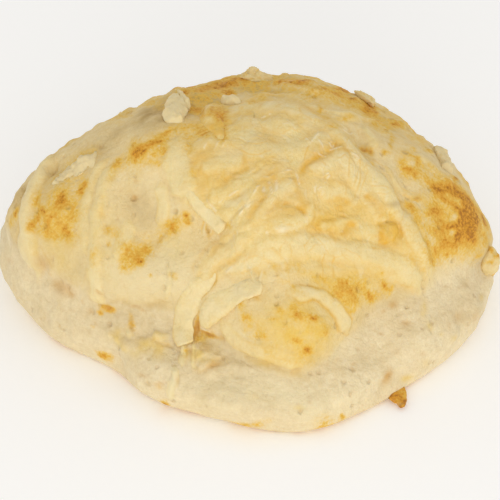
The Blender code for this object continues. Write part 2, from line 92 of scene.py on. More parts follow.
# Lumps and hollows: place (a, b), half-sizes down the slope and across it, turn in degrees, height.
LUMPS = (
    (-20.5, -6.7, 4.0, 7.0, 20, 1.7), (-24, -20, 7.0, 5.5, 0, -2.2), (-26, -13.5, 3.0, 3.0, 0, -0.8),
    (-42.5, -10, 6.0, 5.0, 0, 1.2), (-41.5, 0, 3.0, 6.0, 0, -1.2), (-28, -27.5, 5.0, 6.0, 0, 1.8),
    (-21, -33, 4.0, 4.0, 0, 1.0), (-15, -26, 5.0, 4.0, 0, -0.8), (-11, 5.5, 4.0, 8.0, -20, -1.5),
    (0.5, 12.5, 3.0, 5.0, 0, -1.2), (12, 14, 3.5, 7.0, 0, 1.0), (22, -3.5, 3.0, 7.0, 35, -1.2),
    (32, -11.5, 3.0, 6.0, 20, -1.2), (46, -4, 8.0, 7.0, 0, 1.6), (33, 2, 4.0, 4.0, 0, 1.0),
    (16, -42, 7.0, 8.0, 0, 1.3), (-3, -42, 5.0, 6.0, 0, 0.8), (9, -18, 8.0, 11.0, 0, 0.7),
    (27, -31, 5.0, 7.0, 0, 0.9), (33, -44, 4.0, 3.0, 0, -0.8), (37, -53, 3.0, 2.5, 0, -1.2),
    (43, -33, 5.0, 6.0, 0, 0.7), (-47, -46, 4.0, 3.0, 0, -1.6), (-33, -57, 5.0, 6.0, 0, 1.2),
    (-15, -54, 4.0, 7.0, 0, 1.0), (-9, -58.5, 2.0, 9.0, 0, -0.9), (20, -65, 5.0, 8.0, 0, 1.2),
    (4, -67, 5.0, 3.0, 0, -0.9), (46, -46, 4.0, 3.5, 0, -1.0), (62.5, -9, 2.4, 5.0, 0, -1.6),
    (30, 32, 6.0, 8.0, 10, 1.2), (8, 36, 5.0, 9.0, 0, -1.3), (-18, 31, 6.0, 7.0, -15, 1.4),
    (-38, 22, 5.0, 6.0, 0, -1.2), (2, 52, 4.0, 12.0, 0, 1.0), (-34, 44, 4.0, 9.0, 0, -1.1),
    (40, 42, 4.0, 8.0, 0, -1.1), (52, 20, 5.0, 6.0, 0, 0.9),
)
# Crags all over: size of a lump, its height, and the number that seeds it.
CRAGS = ((14.0, 1.1, 3), (6.5, 0.7, 5), (3.4, 0.32, 8))
NOISE_CELLS = 32
NOISE_OFFSET = 100             # in cells, which keeps places on the lattice positive

# --- what shows on the dough -----------------------------------------------------------------------

COLUMNS = 470                  # of the dough, round the scone
ROWS = 200                     # from its top to the foot
FINE_COLUMNS = 2 * COLUMNS     # of the table that all pieces are read from
FINE_ROWS = 2 * ROWS - 1
FRONT_GATHER = 0.3             # how much closer the columns are at the front
BASE_ROWS = 4                  # rings that close the flat base
FOOT_FADE = 4.0                # the relief fades out below this height

# Finer crags than the form's: size, height, seed.
FINE_CRAGS = ((2.3, 0.08, 12), (1.2, 0.06, 14), (0.65, 0.035, 16))
ROUGH_CRUST = ((3.0, 0.4, 24), (1.5, 0.25, 25), (0.8, 0.12, 26))      # craggy, from the skyline back
TORN_CRUMB = ((2.6, 0.12, 17), (1.4, 0.09, 18), (0.8, 0.07, 19))      # open dough below the crust
RAGGED_DOUGH = ((3.4, 0.8, 21), (1.7, 0.5, 22), (0.9, 0.25, 23))      # torn dough under the overhang
FOLD_LEVEL = 0.35              # taken off folded noise, to keep it about level
TEAR_FILL = 0.8                # share of the tear that shaggy crumb fills
TEAR_WIDTH = 0.165             # from the crust's edge to the lip of the ledge, of a profile's length
DEEPEST_TEAR = 4.6

# Browned spots: place (a, b), half-sizes down the slope and across it, turn in degrees, how brown.
TOAST = (
    # patch by the left end
    (-39.5, -8.4, 3.6, 2.5, 56, 0.25), (-35.8, -7.2, 0.9, 0.7, 87, 0.8),
    (-37.1, -8.8, 0.7, 0.5, 65, 0.85), (-41.1, -8.2, 0.7, 0.6, 89, 0.85),
    (-40.2, -11.3, 1.3, 1.1, 67, 0.75), (-39.1, -11.5, 0.9, 0.6, 58, 0.6),
    (-42.9, -11.5, 0.5, 0.4, 41, 0.6), (-45.7, -8.9, 1.3, 0.5, -61, 0.8),
    (-47.0, -5.2, 0.9, 0.7, 38, 0.95), (-48.0, -8.7, 0.8, 0.6, 11, 0.7),
    (-49.5, -9.3, 0.8, 0.5, 22, 0.85), (-45.3, -12.1, 2.2, 1.2, -47, 0.5),
    (-42.2, -14.3, 0.7, 0.6, -48, 0.7), (-42.0, -15.3, 0.7, 0.6, -52, 0.5),
    (-43.8, -15.1, 3.0, 1.0, -50, 0.3), (-48.6, -11.5, 1.3, 0.6, -48, 0.45),
    (-53.5, -3.7, 1.0, 0.7, 44, 0.85), (-55.6, -4.5, 0.8, 0.8, -81, 0.3),
    # left shoulder
    (-23.8, -5.1, 1.2, 0.9, 88, 0.6), (-21.5, -6.4, 3.0, 0.7, -3, 0.55), (-19.1, -6.1, 1.0, 0.8, 41, 0.8),
    (-22.1, -6.3, 0.7, 0.6, -5, 0.9), (-20.4, -8.4, 1.4, 1.0, -47, 0.5),
    (-23.6, -8.1, 0.3, 0.2, -53, 0.8), (-19.2, -10.2, 0.4, 0.4, -81, 0.55),
    (-17.6, -7.6, 0.9, 0.4, 47, 0.6), (-29.0, -8.1, 1.5, 0.6, 40, 0.3), (-27.8, -6.6, 1.1, 0.7, 39, 0.3),
    (-9.5, -4.8, 1.1, 0.7, 58, 0.55), (-12.5, -8.5, 1.1, 0.7, 75, 0.5),
    (-12.3, -13.2, 0.7, 0.5, 20, 0.55), (-11.4, 3.9, 2.4, 0.9, -54, 0.55),
    # along the skyline
    (-28.2, 11.2, 6.1, 2.0, -61, 0.35), (-21.9, 14.8, 9.0, 1.5, -44, 0.4),
    (-14.4, 14.5, 2.7, 1.6, -49, 0.65), (-11.3, 17.1, 2.6, 0.8, -28, 0.75),
    (-4.0, 17.6, 3.2, 1.9, 40, 0.7), (-8.4, 19.6, 4.2, 1.8, -17, 0.5), (-5.7, 11.8, 1.1, 0.7, 35, 0.7),
    (-0.3, 5.1, 1.1, 0.7, 55, 0.55), (1.6, 7.2, 2.0, 0.8, 13, 0.4), (5.3, 15.5, 1.0, 0.8, 13, 0.8),
    (9.2, 14.7, 2.1, 1.8, -21, 0.55), (19.4, 21.7, 3.8, 1.1, 29, 0.95), (16.7, 15.8, 3.6, 1.0, 16, 0.6),
    (13.1, 13.7, 4.4, 1.3, 18, 0.4), (20.6, 15.9, 1.2, 0.4, 38, 0.5), (25.0, 14.1, 3.2, 1.0, 44, 0.7),
    (26.3, 14.0, 1.3, 0.4, 46, 0.9), (13.1, 3.8, 1.3, 0.4, 63, 0.7), (13.8, 0.5, 1.6, 0.6, 59, 0.45),
    (15.7, -1.0, 1.4, 0.8, 61, 0.45), (18.1, 3.1, 2.3, 0.5, 25, 0.3), (26.1, 8.7, 1.9, 0.5, 48, 0.5),
    (31.0, 12.3, 1.9, 0.7, 30, 0.75), (28.2, 7.0, 1.5, 0.4, 51, 0.4),
    # right shoulder and right end
    (28.6, 2.2, 1.6, 0.3, 75, 0.45), (27.9, -1.1, 0.9, 0.4, 86, 0.5), (26.6, -3.3, 0.5, 0.4, 85, 0.5),
    (36.3, 10.0, 2.9, 2.3, 62, 0.25), (22.5, -3.6, 0.6, 0.6, -62, 0.9), (23.8, -3.8, 0.6, 0.4, -62, 0.7),
    (24.2, -7.1, 0.5, 0.4, -78, 0.5), (32.4, -1.3, 2.2, 1.5, -89, 0.25), (33.1, 1.2, 0.8, 0.4, 60, 0.7),
    (34.1, -0.8, 1.2, 0.4, -78, 0.7), (32.1, -4.5, 1.1, 0.9, 56, 0.45), (34.1, -4.6, 0.5, 0.4, 87, 0.5),
    (38.4, 7.5, 1.4, 0.5, 40, 0.5), (44.7, 2.1, 1.6, 0.4, 55, 0.8), (35.3, -9.5, 0.6, 0.3, 37, 0.95),
    (43.0, -2.2, 0.9, 0.6, 60, 0.5), (42.9, -4.8, 2.8, 1.8, 38, 0.55), (47.1, -3.8, 2.6, 1.5, 37, 0.85),
    (54.5, -1.0, 3.8, 1.1, 47, 0.85), (40.2, -5.2, 1.0, 0.8, 85, 0.5), (38.7, -10.6, 2.0, 0.7, 44, 0.6),
    (34.4, -11.6, 1.1, 0.5, 7, 0.7), (49.2, -6.6, 2.6, 2.0, 69, 0.6), (43.2, -11.3, 1.6, 1.4, 89, 0.45),
    (46.4, -9.3, 1.2, 0.6, 51, 0.65), (49.8, -7.9, 0.8, 0.8, -69, 0.7), (36.3, -13.2, 0.9, 0.6, 71, 0.3),
    (52.8, -7.7, 0.8, 0.3, 47, 0.5), (57.4, -8.4, 1.1, 0.3, 48, 0.45), (41.5, -18.4, 3.3, 1.3, 50, 0.4),
    (44.1, -16.9, 0.8, 0.5, -16, 0.6), (46.8, -15.2, 0.5, 0.4, 37, 0.6), (45.3, -14.7, 0.5, 0.4, 40, 0.6),
    (45.5, -4.6, 1.9, 1.3, 9, 0.9), (48.3, -4.2, 2.0, 1.1, 29, 0.8), (42.3, -4.9, 1.6, 0.7, 12, 0.7),
    (45.6, -12.8, 1.3, 0.6, 18, 0.5), (-43.6, -12.2, 1.8, 0.6, -14, 0.5),
    (-41.0, -7.9, 1.8, 0.4, 26, 0.5), (-20.1, -6.1, 1.8, 0.4, 17, 0.6), (-17.5, -4.1, 1.8, 0.4, 28, 0.45),
    (-7.1, -0.7, 4.2, 0.7, 75, 0.3), (-7.4, -4.9, 2.4, 0.6, 59, 0.6), (-8.6, 10.1, 2.5, 1.0, 87, 0.45),
    # middle, and the lump over the tear
    (-15.2, -20.6, 0.5, 0.4, -45, 0.75), (-15.5, -21.9, 0.8, 0.5, -59, 0.4),
    (-19.0, -22.4, 1.1, 1.0, -45, 0.3), (-10.9, -24.5, 0.9, 0.3, 24, 0.9),
    (-5.3, -24.2, 0.9, 0.6, -87, 0.3), (-25.4, -25.1, 0.8, 0.6, -64, 0.65),
    (-24.2, -25.9, 0.4, 0.4, -74, 0.45), (-26.8, -26.8, 0.8, 0.4, -70, 0.55),
    (-29.1, -26.2, 1.2, 0.8, -39, 0.5), (-29.3, -23.7, 1.2, 1.1, -84, 0.4),
    (-27.9, -25.4, 1.2, 0.7, -63, 0.25), (-30.9, -26.5, 0.9, 0.7, 26, 0.45),
    (-25.1, -29.9, 0.3, 0.2, -50, 0.6), (-33.0, -18.5, 0.9, 0.6, -56, 0.4),
    (-31.0, -19.9, 0.8, 0.8, -89, 0.35), (-37.0, -22.5, 1.5, 0.7, 36, 0.35),
    (-22.1, -24.0, 1.0, 0.4, -3, 0.45), (-18.9, -21.8, 1.1, 0.8, -37, 0.35),
    (-19.9, -31.4, 0.8, 0.5, -83, 0.35), (-33.2, -21.3, 0.4, 0.4, -64, 0.4),
    # in the tear, and along the base
    (-40.8, -33.2, 1.0, 0.6, -44, 0.75), (-43.7, -33.5, 0.5, 0.3, -6, 0.7),
    (-36.3, -40.4, 2.0, 0.4, 16, 0.5), (-20.8, -51.9, 1.1, 0.5, 11, 0.45),
    (-47.7, -35.9, 0.4, 0.4, 43, 0.35), (-51.3, -43.1, 1.0, 0.7, 71, 1.0),
    (-29.0, -62.1, 1.5, 0.6, -23, 0.8), (-2.0, -69.1, 2.8, 0.7, -60, 0.5),
    (21.1, -63.8, 2.6, 1.6, 49, 0.5), (24.8, -60.4, 0.6, 0.4, 30, 0.85),
    (-16.8, -44.3, 2.7, 0.4, -1, 0.95), (-13.7, -46.2, 1.8, 0.6, -71, 1.0),
    (-16.6, -47.4, 0.9, 0.7, -32, 0.6), (-2.0, -42.1, 0.3, 0.3, 70, 0.6),
    (-3.5, -39.6, 0.9, 0.7, 72, 0.35),
    # front corner of the crust
    (5.0, -42.5, 0.6, 0.3, -84, 0.6), (9.8, -41.5, 0.6, 0.5, 74, 0.7), (13.2, -41.4, 0.9, 0.4, 74, 0.65),
    (8.8, -40.1, 0.7, 0.6, -13, 0.4), (10.1, -46.2, 0.6, 0.4, 69, 0.7), (12.8, -47.6, 0.7, 0.4, 63, 0.55),
    (15.7, -44.0, 0.7, 0.4, 77, 0.5), (-0.3, -44.2, 1.2, 1.1, 24, 0.35), (2.8, -48.2, 1.7, 1.2, 77, 0.25),
    (8.9, -50.4, 2.4, 0.6, 73, 0.3), (10.2, -44.0, 5.0, 3.3, 70, 0.1), (21.6, -32.0, 0.9, 0.6, 73, 0.8),
    (22.7, -33.2, 1.4, 0.6, 70, 0.7), (30.1, -31.9, 1.7, 0.8, 58, 0.65),
    (33.0, -28.3, 0.9, 0.6, 29, 0.55), (35.6, -28.5, 0.8, 0.4, -40, 0.7),
    (19.7, -35.0, 0.6, 0.6, 68, 0.6), (30.8, -26.4, 0.4, 0.3, 10, 0.4), (23.3, -35.0, 2.3, 1.1, 69, 0.35),
    (23.8, -37.1, 0.7, 0.4, 64, 0.5), (27.4, -30.4, 3.9, 2.3, 63, 0.12), (5.5, -33.1, 1.4, 0.5, 57, 0.35),
    (8.7, -32.0, 1.2, 0.6, 81, 0.35), (11.1, -33.1, 1.0, 0.6, 61, 0.3), (7.2, -35.7, 1.2, 0.5, 75, 0.3),
    (1.6, -34.2, 1.1, 0.5, 54, 0.25), (15.2, -33.3, 1.5, 0.7, 65, 0.35), (10.4, -36.9, 1.1, 0.6, 57, 0.3),
    (6.0, -40.8, 1.0, 0.5, 44, 0.3), (-1.8, -42.1, 0.9, 0.6, 80, 0.4), (2.1, -45.8, 0.9, 0.6, 68, 0.35),
    (16.1, -43.0, 1.3, 0.7, -84, 0.35), (12.9, -47.7, 1.1, 0.7, -71, 0.35),
    (-40.5, -33.3, 0.9, 0.5, -32, 0.5), (-36.2, -40.7, 0.9, 0.4, 12, 0.6),
    (-7.3, 4.6, 2.6, 0.7, -50, 0.5), (-7.2, 0.6, 2.7, 0.9, -82, 0.6), (-6.9, -2.0, 1.6, 0.9, 63, 0.5),
    (-6.2, -4.9, 1.7, 0.5, 54, 0.7), (-8.3, -0.7, 2.8, 1.0, 77, 0.3), (-10.3, -4.2, 1.6, 0.9, 68, 0.5),
    # the back
    (40.5, 22, 5.0, 3.0, 20, 0.5), (33, 30, 3.0, 2.0, 60, 0.6), (22, 33, 2.0, 3.0, 10, 0.4),
    (8, 28, 3.5, 2.5, 40, 0.5), (-6, 32, 4.0, 2.0, 80, 0.55), (-18, 30, 2.5, 2.0, 0, 0.7),
    (-27, 27, 3.0, 2.2, -30, 0.45), (-38, 17, 3.5, 2.0, 20, 0.55), (-44, 10, 2.0, 2.0, 0, 0.6),
    (52, 12, 3.0, 2.0, 40, 0.5), (14, 41, 1.2, 1.6, 10, 0.6), (-12, 40, 1.0, 1.4, 30, 0.6),
)

TOAST_SPREAD, TOAST_SHARE = 1.45, 0.85        # how far the spots run out, and how brown they get
HOTTEST = 0.86

# Streaks of the browning: size, strength, seed.
STREAKS = ((2.2, 0.5, 27), (0.9, 0.45, 28))
STREAK_ROUND = 38.0            # radius of the ring that they are laid out on
STREAK_DOWN = 0.4              # how much the way down the slope counts
STREAK_STIR = (2.4, 0.5, 71)   # noise that bends them: size, amount, seed

# Spots that stayed pale.
PALE = (
    (45.1, -8.0, 0.9, 0.8, 76, 1.0), (45.7, -11.1, 0.8, 0.6, 52, 1.0), (32.7, -2.7, 1.4, 0.5, 37, 1.0),
    (28.4, -30.4, 0.5, 0.4, 55, 1.0), (-20.2, -7.3, 0.8, 0.4, -41, 0.4), (7.2, -47.2, 1.2, 1.1, 36, 0.6),
    (-21.4, -10.7, 1.4, 0.9, -50, 0.7), (-16.9, -31.4, 2.5, 1.4, 18, 0.6),
    (-23.6, -33.4, 2.7, 1.2, -59, 0.4), (-5.0, -45.4, 2.2, 1.2, 71, 0.6), (34.4, -7.9, 1.4, 1.1, 58, 0.7),
    (41.5, 2.4, 4.4, 1.4, 61, 0.5), (-30.5, -2.0, 2.5, 1.6, -84, 0.4),
)

# Where cheese soaked in and left the dough yellower.
YELLOW = (
    (44.7, -29.0, 1.6, 0.5, -58, 0.6), (45.9, -32.9, 0.8, 0.6, -31, 0.6),
    (49.0, -33.0, 0.4, 0.3, 68, 0.6), (53.5, -31.3, 0.8, 0.4, 51, 0.6), (48.1, -40.4, 1.2, 0.6, 37, 0.4),
    (44.5, -46.1, 1.6, 0.6, 56, 0.7), (61.8, -15.8, 1.1, 0.4, 61, 0.5),
    (-45.1, -17.3, 4.1, 3.5, 12, 0.35), (-32.5, -19.8, 3.9, 2.1, 40, 0.3),
    (-18.7, -25.8, 2.6, 2.4, 14, 0.3), (10.4, -45.0, 8.0, 5.1, 69, 0.2),
    (-40.9, -44.4, 2.1, 0.8, 87, 0.5), (-34.4, -48.0, 2.6, 1.1, -62, 0.4),
    (-16.6, -53.2, 2.3, 1.7, -73, 0.5), (1.8, -50.9, 2.2, 0.8, 81, 0.5),
    (-21.7, -66.7, 12.0, 3.2, -27, 0.06), (14.8, -62.7, 8.5, 1.6, 72, 0.06),
    (-0.7, -60.8, 0.9, 0.8, -18, 0.3), (11.8, -60.7, 0.9, 0.5, 83, 0.4),
    (-34.9, -17.8, 8.0, 1.3, 43, 0.3), (17.6, -31.7, 10.3, 2.6, 71, 0.35),
    (-10.2, -16.8, 2.8, 2.6, -63, 0.4), (-31.6, -47.6, 2.5, 1.1, -64, 0.6),
    (-28.1, -50.5, 1.6, 1.3, -74, 0.5), (-16.9, -47.5, 1.4, 1.0, 2, 0.9),
    (-14.7, -51.2, 2.9, 1.9, -9, 0.4), (-41.5, -41.7, 1.9, 1.1, -16, 0.5),
    (11.0, -44.0, 5.1, 3.7, 73, 0.9), (8.1, -47.2, 2.8, 2.2, 14, 0.5), (23.0, -33.4, 7.0, 1.7, 73, 0.7),
    (17.4, -21.3, 4.0, 1.8, 59, 0.5),
)

# Pores and dents: place, half-sizes, turn, depth. They are carved, and painted shade darkens them.
PIT_SHARE = 0.32               # of the depths below
SMALLEST_PIT = 0.35            # half-size
PITS = (
    (37.5, -30.7, 0.7, 0.6, 61, 0.7), (35.4, -33.0, 0.4, 0.3, 84, 0.6), (40.3, -34.2, 0.9, 0.6, 40, 0.6),
    (34.6, -38.4, 0.3, 0.3, 77, 0.6), (54.1, -26.0, 1.4, 0.9, 74, 0.4), (51.2, -29.7, 0.6, 0.3, -38, 0.5),
    (59.7, -22.0, 1.3, 0.8, 57, 0.35), (37.1, -48.1, 1.3, 0.8, -23, 1.1),
    (26.8, -47.7, 0.5, 0.2, -87, 0.6), (14.5, -58.9, 0.3, 0.3, 0, 0.4), (45.2, -39.3, 0.7, 0.4, 58, 0.3),
    (51.4, -38.4, 0.6, 0.2, 40, 0.35), (38.1, -41.4, 0.7, 0.5, -25, 0.3),
    (49.6, -27.6, 0.3, 0.2, -79, 0.3), (44.3, -24.9, 0.3, 0.3, -29, 0.4),
    (49.6, -20.4, 0.3, 0.2, 67, 0.3), (22.5, -3.6, 0.6, 0.6, -62, 0.9), (23.8, -3.8, 0.6, 0.4, -62, 0.7),
    (35.3, -9.5, 0.6, 0.3, 37, 0.8), (-10.9, -24.5, 0.9, 0.3, 24, 0.8),
    (-25.8, -14.3, 0.6, 0.6, -65, 0.8), (-24.6, -11.5, 0.4, 0.4, -54, 0.5),
    (-28.2, -12.3, 0.2, 0.2, 49, 0.4), (-25.2, -21.7, 0.2, 0.2, -37, 0.4),
    (-33.5, -21.5, 0.2, 0.2, -64, 0.4), (-32.1, -29.9, 0.2, 0.2, -33, 0.4),
    (-51.9, -21.9, 0.8, 0.4, -42, 0.6), (-48.7, -25.8, 0.7, 0.5, -28, 0.7),
    (-38.7, -28.6, 0.5, 0.3, 74, 0.8), (-51.3, -16.7, 2.2, 1.2, -26, 0.6),
    (-49.7, -23.6, 2.8, 1.4, -37, 0.7), (-40.8, -33.2, 1.0, 0.6, -44, 0.7),
    (-43.4, -33.6, 0.5, 0.3, -12, 0.5), (-46.6, -35.7, 0.4, 0.4, -16, 0.4),
    (-36.3, -40.4, 2.0, 0.4, 16, 0.7), (-30.9, -36.7, 0.6, 0.4, -14, 0.5),
    (-32.0, -35.1, 0.8, 0.4, -47, 0.6), (-21.0, -40.1, 0.3, 0.2, -20, 0.9),
    (-19.3, -51.8, 0.9, 0.4, 17, 0.6), (-23.5, -53.2, 0.2, 0.2, -35, 0.4),
    (-22.2, -57.8, 0.7, 0.3, 17, 0.5), (-33.1, -53.6, 1.3, 0.2, -79, 0.5),
    (-27.4, -56.9, 1.1, 0.2, -74, 0.5), (-14.2, -50.6, 1.2, 0.7, -19, 0.4),
    (-16.8, -44.3, 2.7, 0.4, -1, 1.5), (-13.7, -46.2, 1.8, 0.6, -71, 1.2),
    (-46.4, -32.1, 0.8, 0.5, -27, 0.4), (-51.0, -29.2, 0.6, 0.3, -48, 0.3),
    (-60.9, -25.2, 0.3, 0.2, -49, 0.3), (0.6, -48.1, 0.2, 0.2, 62, 0.2),
    (11.6, -59.9, 0.2, 0.2, -35, 0.3), (2.8, -59.4, 0.2, 0.2, -12, 0.2),
    (-6.7, -63.3, 0.2, 0.2, -64, 0.3), (-11.7, -62.0, 0.2, 0.2, -82, 0.3),
    (-64.2, -6.9, 1.6, 0.6, -48, 0.3), (-11.9, -55.4, 1.7, 0.4, -36, 0.7),
    (-25.1, -29.9, 0.2, 0.2, -50, 0.3), (-33.0, -18.5, 0.6, 0.4, -54, 0.3),
    (-22.1, -24.0, 1.0, 0.3, -2, 0.4), (-30.1, -17.2, 0.4, 0.2, 39, 0.4),
    (42.6, -20.3, 0.3, 0.2, 39, 0.4),
)
# Scattered pores: cell of the lattice they sit in, share of cells with one, radius, seed.
PORES = ((2.4, 0.14, 0.36, 31), (1.5, 0.1, 0.24, 32), (4.6, 0.1, 0.5, 34))
PORE_DEPTH = 0.45              # of the radius
CRUST_PORES = 0.15             # how much of that is left on the crust
# painted shade in the scattered pores, per millimetre of their depth
PORE_SHADE_PER_MM = 3.2                # brown per millimetre of depth

# Cheese that melted into the surface: path of (a, b), half-width, height, how crisp its edge is,
# how pale it is and how golden its outline.
MELTED_STRANDS = (
    # across the crown
    (((-9.7, -33.2), (-7.2, -31.9), (-3.7, -31.5), (1.8, -30.1), (9.6, -28.3), (17.9, -26.2), (26.8, -24.6),
      (34.4, -23.8), (39.8, -24.0), (43.0, -25.2)), 3.0, 0.75, 0.25, 0.45, 0.15),
    (((0.0, -26.3), (-3.2, -28.5), (-7.4, -29.7), (-10.9, -31.0), (-13.4, -33.7)), 2.3, 0.7, 0.2, 0.35, 0.25),
    (((18.4, -4.6), (20.7, -7.2), (24.4, -9.5), (27.7, -12.3), (31.1, -14.3), (35.1, -16.6), (38.6, -18.7),
      (45.0, -20.2)), 2.2, 0.85, 0.3, 0.35, 0.2),
    (((11.0, -13.5), (14.3, -10.4), (17.1, -8.8), (19.7, -10.6), (22.8, -12.8), (26.1, -15.4), (29.1, -16.6)),
     2.8, 0.6, 0.0, 0.5, 0.0),
    (((-2.8, -10.3), (1.5, -10.0), (5.7, -9.3), (9.9, -7.8), (14.6, -4.1)), 2.6, 0.5, 0.0, 0.35, 0.0),
    (((-10.9, -13.0), (-8.0, -12.6), (-5.2, -12.1), (-1.9, -11.4)), 2.2, 0.5, 0.1, 0.2, 0.1),
    (((-10.5, -19.7), (-6.7, -18.1), (-3.2, -16.7), (-0.2, -15.7)), 1.7, 0.45, 0.1, 0.15, 0.1),
    (((-9.0, -23.1), (-5.0, -21.1), (-1.2, -19.5), (0.6, -17.4)), 1.6, 0.4, 0.1, 0.1, 0.1),
    (((1.9, -22.8), (2.8, -20.8), (5.0, -18.7), (7.6, -16.0)), 1.8, 0.45, 0.2, 0.25, 0.2),
    (((3.3, -24.8), (6.7, -24.6), (10.4, -22.4), (11.8, -18.6)), 1.7, 0.5, 0.3, 0.2, 0.3),
    (((-4.3, -3.8), (-0.5, -2.5), (4.2, -3.7), (8.4, -4.5)), 2.4, 0.45, 0.1, 0.15, 0.1),
    (((-5.2, 1.2), (-0.9, 3.4), (4.1, 2.3), (8.4, 0.5), (12.1, -1.8)), 2.6, 0.45, 0.1, 0.1, 0.1),
    (((14.6, -2.6), (17.8, -4.3), (19.2, -6.3)), 1.9, 0.4, 0.1, 0.2, 0.0),
    (((13.5, -23.3), (16.7, -21.9), (19.9, -20.4), (23.5, -19.0)), 1.3, 0.45, 0.2, 0.0, 0.4),
    (((13.1, -16.8), (16.7, -14.7), (20.0, -15.1), (22.5, -16.2)), 2.0, 0.45, 0.1, 0.3, 0.0),
    (((22.5, -21.5), (26.0, -20.0), (29.5, -19.5)), 1.9, 0.45, 0.1, 0.1, 0.2),
    (((-12.8, -10.5), (-11.0, -7.6), (-8.6, -6.0), (-7.0, -4.4)), 1.5, 0.35, 0.2, 0.3, 0.2),
    (((-7.8, -27.2), (-4.0, -25.2), (0.0, -24.4)), 1.3, 0.35, 0.0, 0.2, 0.0),
    (((0.6, -33.8), (5.8, -34.2), (12.4, -32.3), (21.4, -29.5), (28.2, -26.9)), 1.3, 0.3, 0.0, 0.1, 0.0),
    (((8.4, -37.4), (11.4, -37.2), (15.5, -36.8), (18.5, -37.4), (21.6, -38.8), (24.8, -41.4)),
     1.5, 0.55, 0.85, 0.75, 0.7),
    # flakes left of the crown
    (((-14.2, -5.4), (-15.3, -9.2), (-15.4, -12.4), (-14.5, -17.4)), 2.7, 0.85, 0.5, 0.4, 0.15),
    (((-19.3, -13.9), (-20.1, -17.7), (-21.3, -20.9)), 1.5, 0.6, 0.7, 0.55, 0.0),
    (((-27.4, -18.9), (-29.8, -21.7), (-31.5, -25.4)), 1.5, 0.55, 0.6, 0.5, 0.0),
    (((-30.0, -5.1), (-33.1, -7.0), (-35.5, -10.0), (-37.3, -13.1), (-38.2, -17.0), (-38.8, -20.7)),
     1.7, 0.55, 0.2, 0.35, 0.0),
    (((-28.0, -6.5), (-30.6, -8.8), (-32.5, -11.5), (-34.3, -14.5), (-35.5, -18.0), (-36.7, -21.6),
      (-38.6, -25.4), (-39.8, -28.7), (-43.3, -32.4)), 1.7, 0.8, 0.35, 0.5, 0.1),
    (((-21.0, -28.6), (-20.9, -30.3), (-20.7, -31.9), (-22.3, -33.9), (-23.8, -35.3)),
     0.45, 0.35, 0.8, 0.75, 0.0),
    # left end
    (((-43.6, 5.4), (-45.6, 1.6), (-48.2, -2.2), (-50.4, -6.0), (-52.0, -9.5), (-54.5, -12.8),
      (-57.5, -17.2)), 2.2, 1.7, 0.5, 0.6, 0.2),
    (((-51.1, -10.3), (-51.8, -13.4), (-55.7, -15.8), (-54.9, -19.8)), 1.1, 0.4, 0.1, 0.0, 0.0),
    (((-51.0, -13.0), (-51.3, -16.7), (-52.7, -20.2)), 0.9, 0.3, 0.1, 0.0, 0.2),
    # right shoulder and skyline
    (((33.6, 0.2), (38.3, 0.5), (43.5, -1.5)), 1.6, 0.75, 0.3, 0.5, 0.0),
    (((1.7, 13.4), (8.0, 12.2), (13.5, 9.2)), 1.5, 0.75, 0.3, 0.35, 0.1),
    (((10.0, 4.4), (15.0, 4.2), (20.0, 5.4), (28.0, 9.5)), 1.0, 0.6, 0.3, 0.3, 0.1),
    (((-6.0, 8.5), (-0.8, 7.2), (5.2, 9.3), (8.9, 6.4), (12.9, 4.1), (17.0, 2.9), (23.9, 6.3)),
     1.0, 0.35, 0.3, 0.25, 0.1),
    (((3.0, 13.6), (6.2, 15.2), (10.2, 14.0), (13.5, 11.9)), 1.1, 0.4, 0.3, 0.35, 0.1),
    (((18.1, 3.1), (19.8, 1.3), (21.3, -1.2)), 0.9, 0.3, 0.2, 0.3, 0.1),
    (((22.3, 2.6), (24.0, -0.4), (23.9, -3.6)), 1.0, 0.35, 0.2, 0.3, 0.1),
    (((27.0, -6.1), (30.1, -9.2), (33.9, -9.3), (38.4, -8.2)), 1.1, 0.35, 0.1, 0.3, 0.0),
    # low on the front
    (((-34.8, -33.0), (-37.8, -36.3), (-38.6, -40.5), (-38.2, -43.4)), 0.8, 0.7, 0.7, 0.8, 0.2),
    (((-21.6, -50.0), (-21.7, -52.5), (-21.4, -54.6)), 0.7, 0.55, 0.7, 0.7, 0.2),
    (((-18.9, -50.5), (-18.1, -54.0), (-17.7, -55.7), (-15.9, -56.5)), 0.45, 0.4, 0.7, 0.8, 0.2),
    (((-23.7, -54.7), (-23.5, -56.5), (-24.1, -58.3), (-24.8, -60.5)), 0.9, 0.5, 0.85, 1.0, 0.0),
    (((-9.0, -41.8), (-6.9, -44.3), (-5.0, -46.0), (-2.7, -47.3), (1.1, -48.8), (5.2, -49.9), (9.1, -50.6),
      (11.9, -50.7)), 1.7, 0.4, 0.7, 0.6, 0.0),
    (((-1.1, -32.4), (-0.5, -34.5), (1.4, -36.6)), 0.5, 0.35, 0.8, 0.8, 0.0),
    (((-31.0, -45.0), (-28.0, -46.8), (-25.0, -47.2)), 1.3, 0.5, 0.4, 0.4, 0.0),
    # back
    (((-14.0, 24.0), (-18.0, 30.0), (-18.0, 37.0), (-14.0, 44.0)), 1.5, 0.9, 0.4, 0.4, 0.1),
    (((6.0, 27.0), (10.0, 33.0), (17.0, 37.0), (23.0, 37.0)), 1.4, 0.85, 0.4, 0.4, 0.1),
    (((25.0, 25.0), (31.0, 31.0), (34.0, 39.0), (34.0, 48.0)), 1.8, 0.9, 0.3, 0.4, 0.1),
    (((-2.0, 42.0), (-7.0, 47.0), (-8.0, 54.0)), 1.1, 0.7, 0.4, 0.4, 0.1),
)
